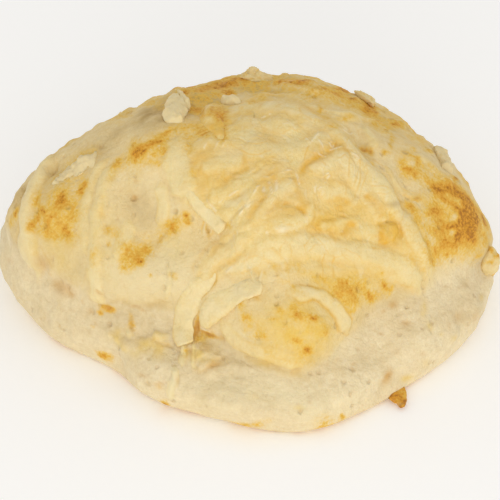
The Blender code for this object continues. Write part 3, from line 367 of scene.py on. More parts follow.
# Short shreds strewn over the melted sheet: count, ranges of length, half-width and height,
# crispness, ranges of paleness and golden outline.
STRAY_STRANDS = (
    (80, (3.0, 9.0), (0.6, 1.4), (0.05, 0.2), 0.6, (0.0, 0.6), (0.0, 0.6)),
    # thin pale shreds: white shreds, whose paleness also stands for small painted highlights on the cheese
    (200, (1.0, 3.2), (0.2, 0.34), (0.08, 0.18), 0.4, (0.7, 1.0), (0.0, 0.0)),
)
STRAY_SEED = 33
CREASE_SHARPNESS = 2.5         # of the creases where strands cross
MELT_RISE = 0.85               # of the heights above
SEAM_GOLD = 0.55               # how golden the seams between strands are
CREST_CREAM = 0.6              # how pale their crests are
WARP = ((3.2, 0.55, 50), (1.2, 0.2, 54))      # how strands stray from their paths: size, amount, seed

# --- the melted sheet -------------------------------------------------------------------------------

SHEET_CENTRE = (10.0, -14.0)
# Outline of the cheese, and of the finer surface that carries it and the front corner of the crust.
SHEET_OUTLINE = (
    (35.5, -14.2), (26.3, -8.4), (18.8, 0.3), (12.9, 4.4), (5.0, 6.4), (-3.8, 8.6), (-10.8, 3.3),
    (-13.0, -8.8), (-17.0, -14.8), (-15.5, -18.5), (-11.5, -22.8), (-4.8, -26.6), (-7.5, -32.8),
    (-1.0, -34.6), (9.8, -32.2), (25.0, -28.2), (35.0, -26.8), (43.4, -26.4), (44.5, -22.4),
    (45.8, -20.6),
)
FINE_OUTLINE = (
    (44.0, -18.0), (38.0, -11.0), (30.0, -5.0), (24.0, 2.0), (18.0, 8.0), (10.0, 11.0), (0.0, 12.0),
    (-8.0, 9.0), (-15.0, 3.0), (-17.0, -6.0), (-19.0, -14.0), (-19.0, -20.0), (-19.5, -27.0),
    (-22.0, -33.0), (-23.5, -40.0), (-25.5, -50.0), (-25.0, -60.0), (-14.0, -61.5), (-4.0, -61.0),
    (6.0, -60.5), (14.0, -59.0), (20.0, -52.5), (25.0, -44.5), (29.0, -37.5), (33.5, -33.0),
    (37.5, -28.5), (43.5, -28.0), (48.0, -24.0),
)
OUTLINE_SMOOTHING = 3.0        # degrees
SHEET_COLUMNS = 700
SHEET_ROWS = 130
UNDER_ROWS = 8
SHEET_LEVEL = 0.45             # thickness between the strands
SHEET_EDGE = 4.5               # width over which it thins out
COVER_LIFT = 0.05              # of the finer surface over the dough
COVER_DIP = 0.5                # how far its edge dips in
COVER_EDGE = 2.5               # width of that edge
COVER_HOLLOW = 0.7             # how deep the dough lies below it
GOLD_BEAD = (30.2, -18.8, 2.5, 1.1)           # place, radius, height
BEAD_CRISPNESS = 0.8
WHITE_CRUMB = (5.6, -25.9, 0.9, 0.5, 80)      # place, half-sizes, turn
WHITE_CRUMB_RISE = 0.45

# Golden furrows between the strands: path, half-width, depth, how golden.
FURROWS = (
    (((8.7, -14.9), (9.4, -13.1), (10.2, -11.6), (11.9, -10.4), (13.7, -8.6), (16.0, -6.2), (17.7, -6.0)),
     0.7, 0.35, 0.85),
    (((-7.0, -15.9), (-5.3, -15.2), (-3.6, -14.1), (-1.9, -13.6), (-0.6, -13.5)), 0.7, 0.3, 0.85),
    (((-16.4, -36.8), (-14.1, -36.1), (-11.7, -35.3), (-10.2, -34.0), (-9.6, -32.6), (-8.0, -31.5),
      (-5.4, -30.8), (-3.5, -30.2), (-1.7, -29.1), (-1.3, -27.5)), 0.5, 0.4, 0.8),
    (((-1.6, -24.3), (-0.3, -23.1), (0.9, -21.6), (1.2, -20.5), (2.0, -19.9), (3.1, -20.0)), 0.7, 0.3, 0.75),
    (((2.0, -16.3), (2.6, -14.8), (2.9, -13.1)), 0.7, 0.2, 0.5),
    (((0.8, -8.1), (1.8, -6.6), (3.0, -5.0)), 0.6, 0.15, 0.5),
    (((9.4, -3.5), (10.3, -4.9), (10.9, -6.4)), 0.6, 0.15, 0.5),
    (((23.1, -13.4), (24.9, -14.4), (26.7, -15.2), (28.1, -16.0)), 0.8, 0.25, 0.7),
    (((12.9, -19.3), (15.8, -19.3), (19.3, -18.2)), 0.5, 0.2, 0.6),
    (((14.2, -22.1), (16.0, -20.7), (17.7, -19.7), (19.7, -19.7)), 0.45, 0.25, 0.7),
    (((15.1, -23.2), (17.7, -24.0), (19.4, -22.5), (20.5, -21.0), (22.7, -20.0)), 0.6, 0.25, 0.8),
    (((4.6, -31.4), (9.8, -30.9), (14.6, -29.8), (19.9, -28.4), (24.7, -27.1), (29.7, -25.9), (36.2, -25.1)),
     0.4, 0.12, 0.25),
    (((1.9, -27.0), (7.1, -26.4), (14.0, -24.3), (16.5, -24.4), (20.0, -23.5), (26.9, -21.3)),
     0.5, 0.2, 0.35),
    (((5.5, -21.7), (6.7, -21.1), (7.9, -21.0), (9.1, -21.5), (9.4, -22.4)), 0.4, 0.45, 1.0),
    (((-5.8, -38.0), (-2.0, -38.1), (1.8, -38.6)), 0.4, 0.15, 0.5),
    (((27.0, -18.5), (28.1, -17.4), (30.1, -16.5), (32.2, -16.6), (33.3, -18.0), (33.3, -19.3)),
     0.4, 0.3, 0.8),
    (((-6.1, -27.0), (-8.7, -28.5), (-11.7, -30.5), (-13.8, -33.1), (-15.7, -35.2)), 0.4, 0.2, 0.4),
    (((-10.4, -17.7), (-8.7, -17.1), (-6.6, -16.9), (-4.4, -16.6)), 0.5, 0.15, 0.35),
    (((-32.2, -11.7), (-32.8, -13.5), (-33.1, -15.2), (-32.6, -16.6)), 0.4, 0.2, 0.3),
    (((-33.6, -34.4), (-35.7, -37.5), (-36.6, -42.5)), 0.45, 0.3, 0.8),
    # edges: the slit under the front corner, and creases of the dough
    (((-38.4, -29.8), (-38.3, -31.2), (-33.8, -32.8), (-30.4, -34.9), (-26.1, -35.5), (-23.0, -36.6)),
     0.45, 0.45, 0.15),
    (((-31.6, -46.5), (-28.7, -48.0), (-26.3, -49.0), (-24.4, -48.5)), 0.35, 0.35, 0.35),
    (((-18.1, -55.8), (-16.0, -56.9), (-13.4, -56.9), (-11.7, -55.4), (-8.3, -53.4), (-6.1, -52.2)),
     0.45, 0.4, 0.3),
    (((-10.3, -43.7), (-8.7, -45.9), (-5.9, -48.1), (-1.6, -49.5), (1.9, -50.9), (5.6, -51.8), (8.7, -52.5)),
     0.5, 0.5, 0.15),
    (((9.2, -52.4), (12.6, -52.4), (13.7, -53.6)), 0.45, 0.5, 0.3),
    (((-28.8, -56.3), (-27.1, -57.4)), 0.3, 0.3, 0.6),
    (((-15.9, -43.8), (-15.0, -44.8), (-12.8, -45.4), (-11.1, -46.3)), 0.45, 0.7, 1.0),
    (((-28.9, -19.5), (-26.5, -22.3), (-24.0, -24.3), (-20.9, -22.7), (-17.4, -20.0)), 0.6, 0.25, 0.1),
)

# Thin raised edges, with a painted highlight along them.
GLINT_RISE, GLINT_WIDTH = 0.16, 0.2
GLINTS = (
    ((0.9, -18.0), (0.4, -19.1), (-0.5, -20.3), (-1.4, -21.5), (-2.5, -22.7)),
    ((3.9, -15.7), (4.1, -17.4), (4.0, -19.0)), ((2.9, -17.3), (3.3, -19.3)),
    ((6.2, -15.3), (6.8, -16.3)), ((13.2, -13.6), (14.5, -12.6)),
    ((13.0, -14.4), (12.0, -15.8), (11.9, -16.8)), ((-10.0, -8.8), (-8.5, -7.1)),
    ((10.1, -6.5), (10.8, -7.5)), ((12.4, -6.7), (13.2, -7.7)),
    ((14.5, -6.4), (15.2, -7.2), (15.6, -5.8)), ((2.0, -18.3), (2.4, -19.7)),
    ((-1.3, -32.8), (-0.4, -34.5)), ((-6.3, -8.7), (-5.5, -7.5)), ((-8.3, -9.8), (-6.9, -7.7)),
    ((7.9, -14.0), (8.6, -17.0)), ((12.7, -16.3), (14.3, -14.0)), ((13.3, -14.8), (14.9, -12.9)),
    ((11.6, -9.1), (13.7, -9.4)), ((14.7, -7.8), (17.2, -6.3)), ((11.1, -7.1), (12.2, -4.8)),
    ((1.6, -1.0), (3.2, -0.4)), ((-2.3, -22.6), (-0.4, -21.1)), ((1.9, -18.8), (3.1, -20.0)),
    ((17.6, -0.5), (19.9, 0.0)), ((1.0, -25.6), (3.0, -26.6)), ((-10.5, -17.9), (-8.1, -21.2)),
    ((-7.3, -33.1), (-3.4, -31.3)), ((-1.5, -32.8), (0.0, -34.9)), ((-5.0, -18.7), (-3.2, -18.0)),
    ((5.2, -14.9), (6.8, -13.9)), ((-8.9, -0.5), (-8.1, -4.3)), ((18.8, -7.1), (20.9, -8.0)),
)

# Broad browning.
WASHES = (
    (-11.3, 14.8, 5.3, 12.0, 27, 0.3), (3.3, 16.7, 8.8, 6.2, 68, 0.35), (18.4, 12.7, 8.8, 4.7, 4, 0.35),
    (26.8, 11.4, 8.1, 4.5, 64, 0.25), (-20.2, -6.3, 5.7, 3.1, 12, 0.2), (-13.4, -3.6, 3.3, 2.5, 60, 0.3),
    (-38.4, -1.5, 6.4, 3.4, 6, 0.22), (-42.5, -8.3, 4.2, 3.6, -72, 0.16),
    (-45.6, -12.5, 5.4, 2.8, -47, 0.12), (43.3, -6.3, 6.0, 4.6, 12, 0.45), (45.5, -5.2, 3.9, 2.8, 9, 0.4),
    (40.1, -2.3, 4.4, 3.0, -2, 0.4), (42.8, -13.4, 8.4, 2.5, 42, 0.3), (53.5, -6.3, 7.5, 3.6, 46, 0.5),
    (44.1, -17.5, 4.0, 2.0, 49, 0.25), (31.9, -17.9, 3.6, 2.3, 57, 0.15), (32.9, -1.5, 3.8, 2.8, 66, 0.2),
    (23.1, -33.0, 7.4, 2.4, 77, 0.22), (12.0, -42.9, 5.8, 4.1, 79, 0.13), (9.9, -48.0, 4.6, 1.8, 56, 0.1),
    (16.2, -21.7, 5.2, 1.9, 69, 0.18), (0.5, -23.4, 4.4, 2.0, -17, 0.12),
    (-25.8, -24.9, 4.6, 2.7, -35, 0.1), (-19.3, -21.7, 4.3, 2.0, -26, 0.12),
    (28.1, -16.0, 4.3, 1.9, 22, 0.15), (38, 26, 9, 6, 20, 0.35), (12, 30, 7, 9, 0, 0.3),
    (-16, 30, 8, 7, 0, 0.3), (-36, 20, 7, 7, 0, 0.3), (55, 14, 6, 5, 0, 0.25),
)
# Tan where the dough is thin or torn, and painted shade in hollows, under the crust's lip,
# in the tear and along the skyline.
TAN_AND_PAINTED_SHADE = (
    (-24.1, -17.3, 3.5, 3.2, 49, 0.7), (-29.7, -17.6, 2.8, 1.9, 40, 0.4),
    (-26.1, -15.7, 2.0, 1.6, 42, 0.5), (-39.4, -25.9, 5.5, 2.1, -79, 0.4),
    (-34.3, -35.7, 10.8, 3.5, -58, 0.6), (-43.4, -39.5, 6.6, 2.5, -73, 0.3),
    (-11.6, -49.1, 6.0, 2.8, -75, 0.5), (-0.7, -52.2, 7.9, 2.9, -85, 0.45),
    (11.8, -52.3, 3.9, 1.3, 51, 0.35), (33.1, -33.8, 6.4, 2.1, 86, 0.35),
    (39.4, -26.6, 3.3, 2.2, 82, 0.3), (-14.1, 10.5, 6.9, 5.2, -17, 0.75), (-4.0, 17.6, 6.1, 2.7, 25, 0.8),
    (2.4, 13.8, 5.6, 2.0, 43, 0.6), (-31.8, -6.4, 4.2, 2.6, -4, 0.3), (-44.7, -4.7, 3.7, 2.5, -70, 0.4),
    (53.5, -26.7, 4.3, 1.7, 66, 0.4), (40.2, -35.4, 1.4, 1.1, 22, 0.4), (37.3, -48.4, 2.4, 1.6, 12, 0.4),
    (37.6, -30.4, 1.3, 0.8, 77, 0.5), (28.8, -12.3, 3.6, 2.3, 73, 0.4), (29.9, -14.7, 3.7, 1.1, 36, 0.4),
    (20, 36, 8, 6, 0, 0.3), (-28, 36, 6, 5, 0, 0.3), (-37.7, -38.7, 4.3, 3.1, -26, 0.35),
    (-28.7, -39.9, 3.8, 2.2, -36, 0.4), (-33.2, -47.2, 5.2, 2.0, -60, 0.25),
    (-11.6, -50.6, 3.2, 2.7, -33, 0.6), (-2.1, -49.5, 3.3, 1.5, 72, 0.6), (5.4, -52.4, 3.1, 1.1, 79, 0.6),
    (11.9, -53.0, 1.3, 0.9, 58, 0.6), (-9.2, -53.9, 2.3, 0.9, -35, 0.7),
    (-22.9, -57.1, 1.1, 0.8, 15, 0.6), (-19.7, -52.8, 0.8, 0.5, 11, 0.8),
    (-40.1, -32.7, 3.1, 1.3, -29, 0.5), (-31.4, -35.2, 3.5, 0.8, -59, 0.6),
    (-25.3, -36.4, 2.6, 0.7, -63, 0.4), (37.3, -49.0, 1.2, 0.8, -11, 0.5),
    (27.8, -46.4, 1.5, 0.8, 78, 0.4), (17.1, -49.5, 2.4, 1.1, 68, 0.3),
    (-52.5, -21.7, 2.0, 1.2, -68, 0.4), (-53.1, -15.7, 1.8, 1.0, 20, 0.4),
    (-6.2, -52.6, 2.8, 1.0, -85, 0.4), (2.2, -51.9, 2.8, 0.7, 82, 0.45),
    (-36.7, -31.3, 1.8, 0.9, -81, 0.4),
)
# Painted shade, a dull brown, where the crust turns away from the light at the top and at the ends,
# and in its seams.
PAINTED_SHADE_SPOTS = (
    (-10.8, 14.8, 11.0, 4.2, -37, 0.9), (-3.0, 17.0, 4.2, 4.0, 31, 0.8), (1.6, 12.3, 3.2, 2.2, -19, 0.5),
    (-11.9, 4.4, 2.1, 1.5, -46, 0.8), (-17.8, 0.8, 3.4, 1.2, -82, 0.5), (-30.5, 0.4, 6.4, 2.6, 29, 0.4),
    (-41.9, -0.6, 2.2, 1.4, -56, 0.5), (7.2, 15.5, 5.0, 2.4, 15, 0.7), (16.6, 17.0, 5.0, 2.0, 5, 0.7),
    (26.7, 11.9, 6.3, 2.4, -60, 0.6), (36.6, 1.1, 3.9, 1.5, 45, 0.35), (22.9, -4.4, 2.1, 1.3, -59, 0.5),
    (29.7, -13.4, 3.2, 0.6, 49, 0.6), (-51.7, -0.8, 2.6, 2.2, -29, 0.8), (-20.9, 6.1, 7.0, 3.2, -85, 0.7),
    (58.0, -18.0, 5.0, 4.0, 60, 0.15), (59.5, -6.0, 4.5, 3.0, 60, 0.45), (-57.0, -8.0, 4.0, 3.0, 60, 0.3),
    (-14.1, 10.0, 4.4, 2.5, -52, 0.85), (-16.9, 2.9, 5.5, 1.6, -77, 0.5), (0.1, 13.1, 2.9, 2.3, 21, 0.6),
    (-9.6, 8.5, 2.2, 1.3, 51, 0.5), (21.0, 20.0, 5.1, 1.8, 44, 0.4), (9.2, 14.4, 2.8, 1.8, -71, 0.3),
)
# Cream where the cheese or the dough is palest.
CREAMY = (
    (-19.8, -29.0, 7.5, 3.2, 37, 0.9), (-5.2, -36.7, 7.3, 2.3, -80, 0.5),
    (-34.7, -19.0, 9.8, 3.1, 35, 0.4), (-35.9, -29.4, 5.5, 1.6, -66, 0.4),
    (-29.6, -30.2, 7.0, 3.0, -63, 0.6), (-8.6, -21.7, 3.8, 2.0, 67, 0.3), (17.9, -9.9, 5.7, 2.3, 65, 0.4),
    (-3.2, -29.2, 6.5, 2.6, -85, 0.3), (29.5, -23.3, 8.0, 1.7, 51, 0.5), (41.1, -21.5, 3.9, 2.3, 37, 0.5),
    (49.1, -15.6, 6.7, 1.9, 63, 0.3), (24.0, -17.4, 3.2, 2.4, -77, 0.2), (42.6, 6.0, 4.0, 3.0, 55, 0.5),
    (-14.5, -4.5, 3.0, 2.5, 0, 0.3), (-21.3, -12.0, 5.2, 1.7, -40, 0.6), (-33.2, -24.8, 3.8, 3.2, 7, 0.5),
    (-23.8, -29.6, 4.7, 2.5, -61, 0.8), (-33.7, -15.2, 5.0, 1.2, 45, 0.5),
    (-19.2, -17.5, 2.6, 1.2, 33, 0.7), (12.1, -58.9, 9.8, 3.6, 71, 0.8),
    (-36.4, -17.3, 5.2, 2.0, 47, 0.6), (-4.3, -45.7, 3.5, 1.7, 67, 0.6),
    (-4.6, -10.3, 3.1, 1.9, -78, 0.8), (2.6, -7.1, 5.9, 3.6, 44, 0.5), (8.5, -18.3, 4.5, 2.3, 78, 0.6),
    (19.3, -11.8, 3.5, 2.7, 32, 0.4), (-4.0, -60.5, 7.2, 2.8, -69, 0.5), (5.6, -18.5, 2.5, 1.5, 76, 0.4),
    (-10.8, -12.6, 2.7, 2.1, 55, 0.3), (0.5, -22.3, 3.0, 1.6, 75, 0.5), (12.6, -3.5, 2.9, 2.2, 1, 0.5),
    (-15.1, -10.6, 2.9, 2.0, 53, 0.6), (-33.9, -20.2, 3.9, 1.7, 38, 0.4),
    (-24.5, -31.8, 4.9, 2.2, -59, 0.4), (2.3, -48.9, 4.2, 1.0, 63, 0.5),
    (-6.7, -62.1, 3.9, 1.5, -78, 0.3), (-2.9, 7.2, 2.8, 1.0, 1, 0.5),
)

# Lumps of shaggy dough, and a notch by the left end: place (a, b), half-sizes, turn, height.
DOUGH_LUMPS = (
    (-13.7, -52.7, 3.0, 2.1, -14, 0.9), (-27.7, -46.3, 2.3, 1.5, -40, 0.6),
    (-30.0, -47.0, 1.8, 2.4, 0, 0.4), (-2.5, -53.5, 2.9, 1.3, -72, 0.3), (32.6, -1.7, 2.0, 1.8, 0, 0.5),
    (-43.9, 1.3, 1.5, 0.9, 72, -3.0), (-9.0, -58.5, 2.0, 9.0, 0, 0.45),
)

# --- separate shreds, crumbs and crisps -----------------------------------------------------------

# What the material reads at a piece's points.
TINTS = ("crust", "cheese", "toast", "gold", "pale", "tan", "yellow", "dusk", "glint", "pit")

SINK = 1.0                     # how deep a shred is sunk
STRAND_STEP = 0.22             # spacing of a shred's sections
STRAND_EASING = 9              # sections either side that smooth the surface it follows
STRAND_SIDES = 44
STRINGINESS = 0.1              # height of the strings along a shred
STRING_SIZE = 0.8
STRAND_ROUGHNESS = ((2.0, 1.2), (0.9, 1.0), (0.45, 0.5))      # size, share of the shred's roughness
CRISPED = (0.42, 0.34, 0.7)    # where a browned shred is brownest along it, how widely, how brown

# Path of (a, b, lift), widths along it, thickness, crispness of its edges, colour, seed.
SHREDS = {
    "crisp_shred": (((-14, -16, 0.1), (-11.8, -19.7, 0.15), (-9.5, -22.3, 0.25), (-6.8, -24.9, 0.5)),
                    (1.8, 2.9, 3.0, 2.9), 0.6, 0.9, "pale", 5),
    "rough_flake": (((-43.6, -4.0, -0.4), (-40.4, -2.6, -0.2), (-36.6, -2.1, -0.1), (-32.4, -2.9, -0.4)),
                    (2.2, 4.4, 5.2, 3.4), 0.65, 0.2, "rough", 7),
    "standing_flake": (((-15.9, 10.5, 0.6), (-15.7, 7, 0.9), (-15.6, 3, 0.7), (-15.1, -1.8, -0.3)),
                       (2.2, 3.9, 4.2, 3.4), 1.1, 0.6, "crumbly", 8),
    "flake_sliver": (((-15.2, 11.6, 0.8), (-14.2, 8.0, 1.3), (-13.4, 4.2, 0.6)), (0.8, 1.6, 1.3), 0.8, 0.6,
                     "crumbly", 11),
    "folded_flake": (((-8.6, 4.8, 0.2), (-8.3, 0.5, 0.3), (-7.6, -3.2, 0.1), (-6, -8, -0.5)),
                     (3.8, 4.8, 4.0, 1.8), 1.1, 0.3, "browned", 9),
    "small_nub": (((-6.6, 8.8, 0.2), (-4.5, 7.3, 0.4), (-2.6, 5.6, 0.1)),
                  (2.0, 2.6, 2.0), 1.1, 0.5, "crumbly", 10),
    "skyline_flake": (((41.5, 13, 0.2), (42.8, 8, 0.5), (42.5, 3, 0.1)),
                      (2.2, 4.0, 2.6), 0.9, 0.5, "rough", 13),
    "back_flake": (((-30, 21, 0.0), (-34, 24, 0.1), (-39, 24, 0.4)),
                   (2.2, 3.2, 2.4), 0.9, 0.5, "rough", 18),
    "front_drip": (((-9.6, -32.2, -0.3), (-12.9, -34.2, -0.05), (-15.6, -35.7, 0.15), (-17.9, -37.9, 0.35),
                    (-20.1, -41.9, 0.55), (-21.1, -46.4, 0.6), (-20.7, -50.0, 0.5)),
                   (2.6, 3.8, 4.4, 4.6, 4.5, 4.2, 3.4), 0.45, 0.55, "pale", 20),
    "front_hook": (((1.9, -36.9, 0.1), (-1.4, -36.7, 0.05), (-4.4, -37.2, 0.05), (-7.4, -38.0, 0.15),
                    (-10.0, -39.2, 0.3), (-12.6, -41.1, 0.45), (-14.5, -43.3, 0.6)),
                   (2.6, 4.2, 4.8, 5.0, 5.0, 4.2, 1.8), 0.5, 0.5, "draped", 21),
}
# Per kind of shred: raggedness of its edges, roughness, tints cheese, pale, tan and gold
# edge, and how much it is tilted to one side.
SHRED_LOOKS = {
    "pale": (0.14, 0.05, 1.0, 0.75, 0.0, 0.4, 0.0), "draped": (0.14, 0.05, 1.0, 0.8, 0.0, 0.3, 0.2),
    "rough": (0.4, 0.34, 0.3, 0.5, 0.25, 0.15, 0.0), "crumbly": (0.35, 0.3, 0.6, 0.8, 0.0, 0.1, 0.0),
    "browned": (0.14, 0.1, 1.0, 0.1, 0.0, 0.9, 0.0),
}

# Crumbs: place, lift, half-sizes down the slope, across and up, lumpiness, brownness, seed.
CRUMBS = {
    "skyline_crumb": (0.6, 18.5, 0.1, 1.8, 3.0, 1.3, 1.0, 0.25, 1),
    "skyline_crumb_top": (-0.4, 18.6, 1.0, 1.2, 1.4, 1.4, 1.0, 0.2, 2),
    "right_skyline_crumb": (24, 19.5, 0.1, 1.6, 2.4, 1.2, 1.0, 0.3, 3),
    "right_end_nub": (62.6, -4.6, 0.7, 1.9, 3.2, 2.6, 0.5, 0.55, 5),
    "back_crumb": (-36, 34, 0.1, 1.6, 2.2, 1.2, 1.0, 0.25, 6),
    "low_back_crumb": (12, 47, 0.2, 1.8, 1.6, 1.1, 1.0, 0.25, 7),
}
CRUMB_ROWS, CRUMB_COLUMNS = 40, 64
CRUMB_LUMPS = ((2.2, 0.3), (1.0, 0.2), (0.5, 0.09))           # size, height, of the radius
FOOT_CRISP = (-49.5, 40.0, 46.5, 5.0, 2.6, 1.6)      # direction, root and tip radius, width, height, skew
FOOT_CRISP_ROWS, FOOT_CRISP_COLUMNS = 34, 40

# --- colours and shine ------------------------------------------------------------------------------

# Noise that makes colour uneven: how many times finer than the largest, weight, detail.
MOTTLING = ((1.0, 0.25, 2.0), (3.4, 0.25, 2.0), (11.0, 0.27, 2.0), (27.0, 0.23, 1.0))

SPECKS = {"Speck size": 560.0, "Break up": 0.45}              # of browning
GRAIN = {"Pore size": 620.0, "Pores": 0.8}                    # of the dry dough
DRY_ROUGHNESS = 0.72
CHEESE_ROUGHNESS = (0.3, 0.48)                                # least and most, by patches
BUMP_STRENGTH, BUMP_DEPTH = 0.75, 0.0006
SUBSURFACE_WEIGHT, SUBSURFACE_DEPTH = 0.22, 0.0006
SUBSURFACE_COLOUR = (1.0, 0.82, 0.58)                         # red light goes deepest
SHINE = 0.4


def srgb(red, green, blue):
    """A linear colour from the 0 to 255 values of a display colour."""
    value = np.array([red, green, blue]) / 255
    linear = np.where(value <= 0.04045, value / 12.92, ((value + 0.055) / 1.055) ** 2.4)
    return (*[float(v) for v in linear], 1.0)


CRUMB_CREAM = srgb(240, 223, 183)
CRUMB_SHADE = srgb(226, 205, 160)
CRUST_CREAM = srgb(235, 213, 160)
CRUST_SHADE = srgb(227, 199, 138)
# tan of thin dough, also the colour of painted shade
THIN_TAN_AND_SHADE = srgb(208, 184, 134)
SOAKED_YELLOW = srgb(232, 199, 106)
GOLD = srgb(229, 188, 84)
ORANGE_BROWN = srgb(215, 153, 40)
DEEP_BROWN = srgb(172, 112, 24)
# colour of painted shade in pits and pores
PORE_SHADE_BROWN = srgb(205, 158, 84)
# colour of painted shade on the crust
PAINTED_SHADE_BROWN = srgb(172, 137, 70)
CHEESE = srgb(238, 218, 157)
CHEESE_DEEP = srgb(231, 200, 120)
CHEESE_PALE = srgb(236, 220, 175)
FURROW_GOLD = srgb(229, 180, 68)
# colour of the painted highlight
GLINT_WHITE = srgb(250, 244, 222)


# --- the surface -----------------------------------------------------------------------------------

def catmull_rom(before, here, after, beyond, part):
    """The smooth curve through here and after, a part of the way between them."""
    bend = 2 * before - 5 * here + 4 * after - beyond
    twist = 3 * (here - after) + beyond - before
    return here + 0.5 * part * (after - before + part * (bend + part * twist))


def around(values, angle):
    """A smooth closed curve through evenly spaced values, read at any angle in radians."""
    values = np.asarray(values, float)
    place = (angle / (2 * np.pi) % 1.0) * len(values)
    index = np.floor(place).astype(int)
    part = place - index
    return catmull_rom(*(values[(index + k) % len(values)] for k in (-1, 0, 1, 2)), part)


def spaced_evenly(radius, height, count):
    """Profiles with their samples the same distance apart, and the length of each profile."""
    step = np.hypot(np.diff(radius, axis=1), np.diff(height, axis=1))
    walked = np.hstack([np.zeros((len(radius), 1)), np.cumsum(step, axis=1)])
    length = walked[:, -1]
    even = [np.linspace(0, end, count) for end in length]
    radius = np.array([np.interp(e, w, r) for e, w, r in zip(even, walked, radius)])
    height = np.array([np.interp(e, w, h) for e, w, h in zip(even, walked, height)])
    return radius, height, length


def rounded(values, mirror):
    """A moving mean along each profile. It is mirrored at the top, and the foot stays where it is."""
    reach = PROFILE_SMOOTHING
    padded = np.hstack([mirror * values[:, reach:0:-1], values, np.repeat(values[:, -1:], reach, 1)])
    weight = np.hanning(2 * reach + 3)[1:-1]
    weight /= weight.sum()
    mean = sum(w * padded[:, k:k + values.shape[1]] for k, w in enumerate(weight))
    mean[:, -1] = values[:, -1]
    if mirror < 0:
        mean[:, 0] = 0
    return mean


def profiles(angle, count):
    """Radius and height from the top of the dome to the foot for each angle, with their length
    and the share of it that lies above the crust's edge: a dome whose height falls with a power of
    its radius, then a wall through points under the rim, round the belly and down to the foot."""
    rim, rim_height, belly, base, tear, shoulder = (
        around(values, angle)[:, None] for values in (RIM, RIM_HEIGHT, BELLY, BASE, TEAR, SHOULDER))
    tear = np.maximum(tear, 0)
    out = np.sin(np.linspace(0, np.pi / 2, DOME_SAMPLES))[None, :]
    dome_radius = rim * out
    dome_height = rim_height + (HEIGHT - rim_height) * np.maximum(1 - out ** 2, 0) ** (1 / shoulder)
    drop = rim_height - BELLY_HEIGHT
    spread = belly - rim
    wall = [(rim + 0.12 * spread - tear, rim_height - 0.2 * drop - 0.2 * tear),
            (rim + 0.5 * spread - 0.2 * tear, rim_height - 0.42 * drop),
            (rim + 0.8 * spread, rim_height - 0.62 * drop),
            (belly, BELLY_HEIGHT + 0 * rim),
            (base, 0.8 * FOOT + 0 * rim),
            (base - FOOT, 0 * rim)]
    radius = np.hstack([dome_radius] + [r for r, _ in wall])
    height = np.hstack([dome_height] + [h for _, h in wall])
    step = np.hypot(np.diff(radius, axis=1), np.diff(height, axis=1))
    rim_share = step[:, :DOME_SAMPLES - 1].sum(axis=1) / step.sum(axis=1)
    radius, height, _ = spaced_evenly(radius, height, PROFILE_SAMPLES)
    for _ in range(2):
        radius = rounded(radius, -1)
        height = rounded(height, 1)
    return *spaced_evenly(radius, height, count), rim_share


def noise(points, size, seed):
    """Smooth noise from -1 to 1 over space: random values on a cubic lattice, blended between."""
    lattice = np.random.default_rng(seed).uniform(-1, 1, (NOISE_CELLS,) * 3)
    scaled = points / size + NOISE_OFFSET
    cell = np.floor(scaled).astype(int)
    part = scaled - cell
    part = part * part * (3 - 2 * part)
    total = 0
    for corner in np.ndindex(2, 2, 2):
        index = (cell + corner) % NOISE_CELLS
        weight = np.prod(np.where(corner, part, 1 - part), axis=-1)
        total = total + weight * lattice[index[..., 0], index[..., 1], index[..., 2]]
    return total


def layers(points, table):
    """Noise layers added up: size, height and seed of each."""
    return sum(rise * noise(points, size, seed) for size, rise, seed in table)


def folds(points, table):
    """Noise layers folded at zero, which leaves sharp creases."""
    return sum(rise * (np.abs(noise(points, size, seed)) - FOLD_LEVEL) for size, rise, seed in table)


def bump(a, b, squeeze, place_a, place_b, down, across, turn):
    """1 at a place, falling away smoothly; squeeze turns the laid-out width into the true one."""
    walked = np.maximum(np.hypot(a, b), 1e-6)
    along = ((a - place_a) * a + (b - place_b) * b) / walked
    aside = ((b - place_b) * a - (a - place_a) * b) / walked * squeeze
    turn = np.radians(turn)
    first = (along * np.cos(turn) + aside * np.sin(turn)) / down
    second = (aside * np.cos(turn) - along * np.sin(turn)) / across
    return np.exp(-(first ** 2 + second ** 2))


def spotted(a, b, squeeze, spots, spread=1.0):
    """How strongly spots cover places: one minus the product of what each of them leaves bare."""
    bare = np.ones(np.shape(a))
    for place_a, place_b, down, across, turn, strength in spots:
        reach = 3.2 * spread * max(down, across)
        wide = reach * 1.8
        near = (np.abs(a - place_a) < wide) & (np.abs(b - place_b) < wide)
        part = bump(a[near], b[near], squeeze[near], place_a, place_b, down * spread, across * spread, turn)
        bare[near] *= 1 - strength * part
    return 1 - bare


def form_relief(a, b, squeeze, points):
    """Height of the form's lumps and crags above the plain form."""
    height = np.zeros(a.shape)
    for place_a, place_b, down, across, turn, rise in LUMPS:
        height += rise * bump(a, b, squeeze, place_a, place_b, down, across, turn)
    for size, rise, seed in CRAGS:
        height += rise * noise(points, size, seed)
    return height


def outward(points):
    """Unit normals of a grid whose rows run down from the top and whose columns close round it."""
    down = np.gradient(points, axis=1)
    round_about = np.roll(points, -1, axis=0) - np.roll(points, 1, axis=0)
    normal = np.cross(down, round_about)
    normal[:, 0] = (0, 0, 1)
    return normal / np.maximum(np.linalg.norm(normal, axis=-1, keepdims=True), 1e-9)


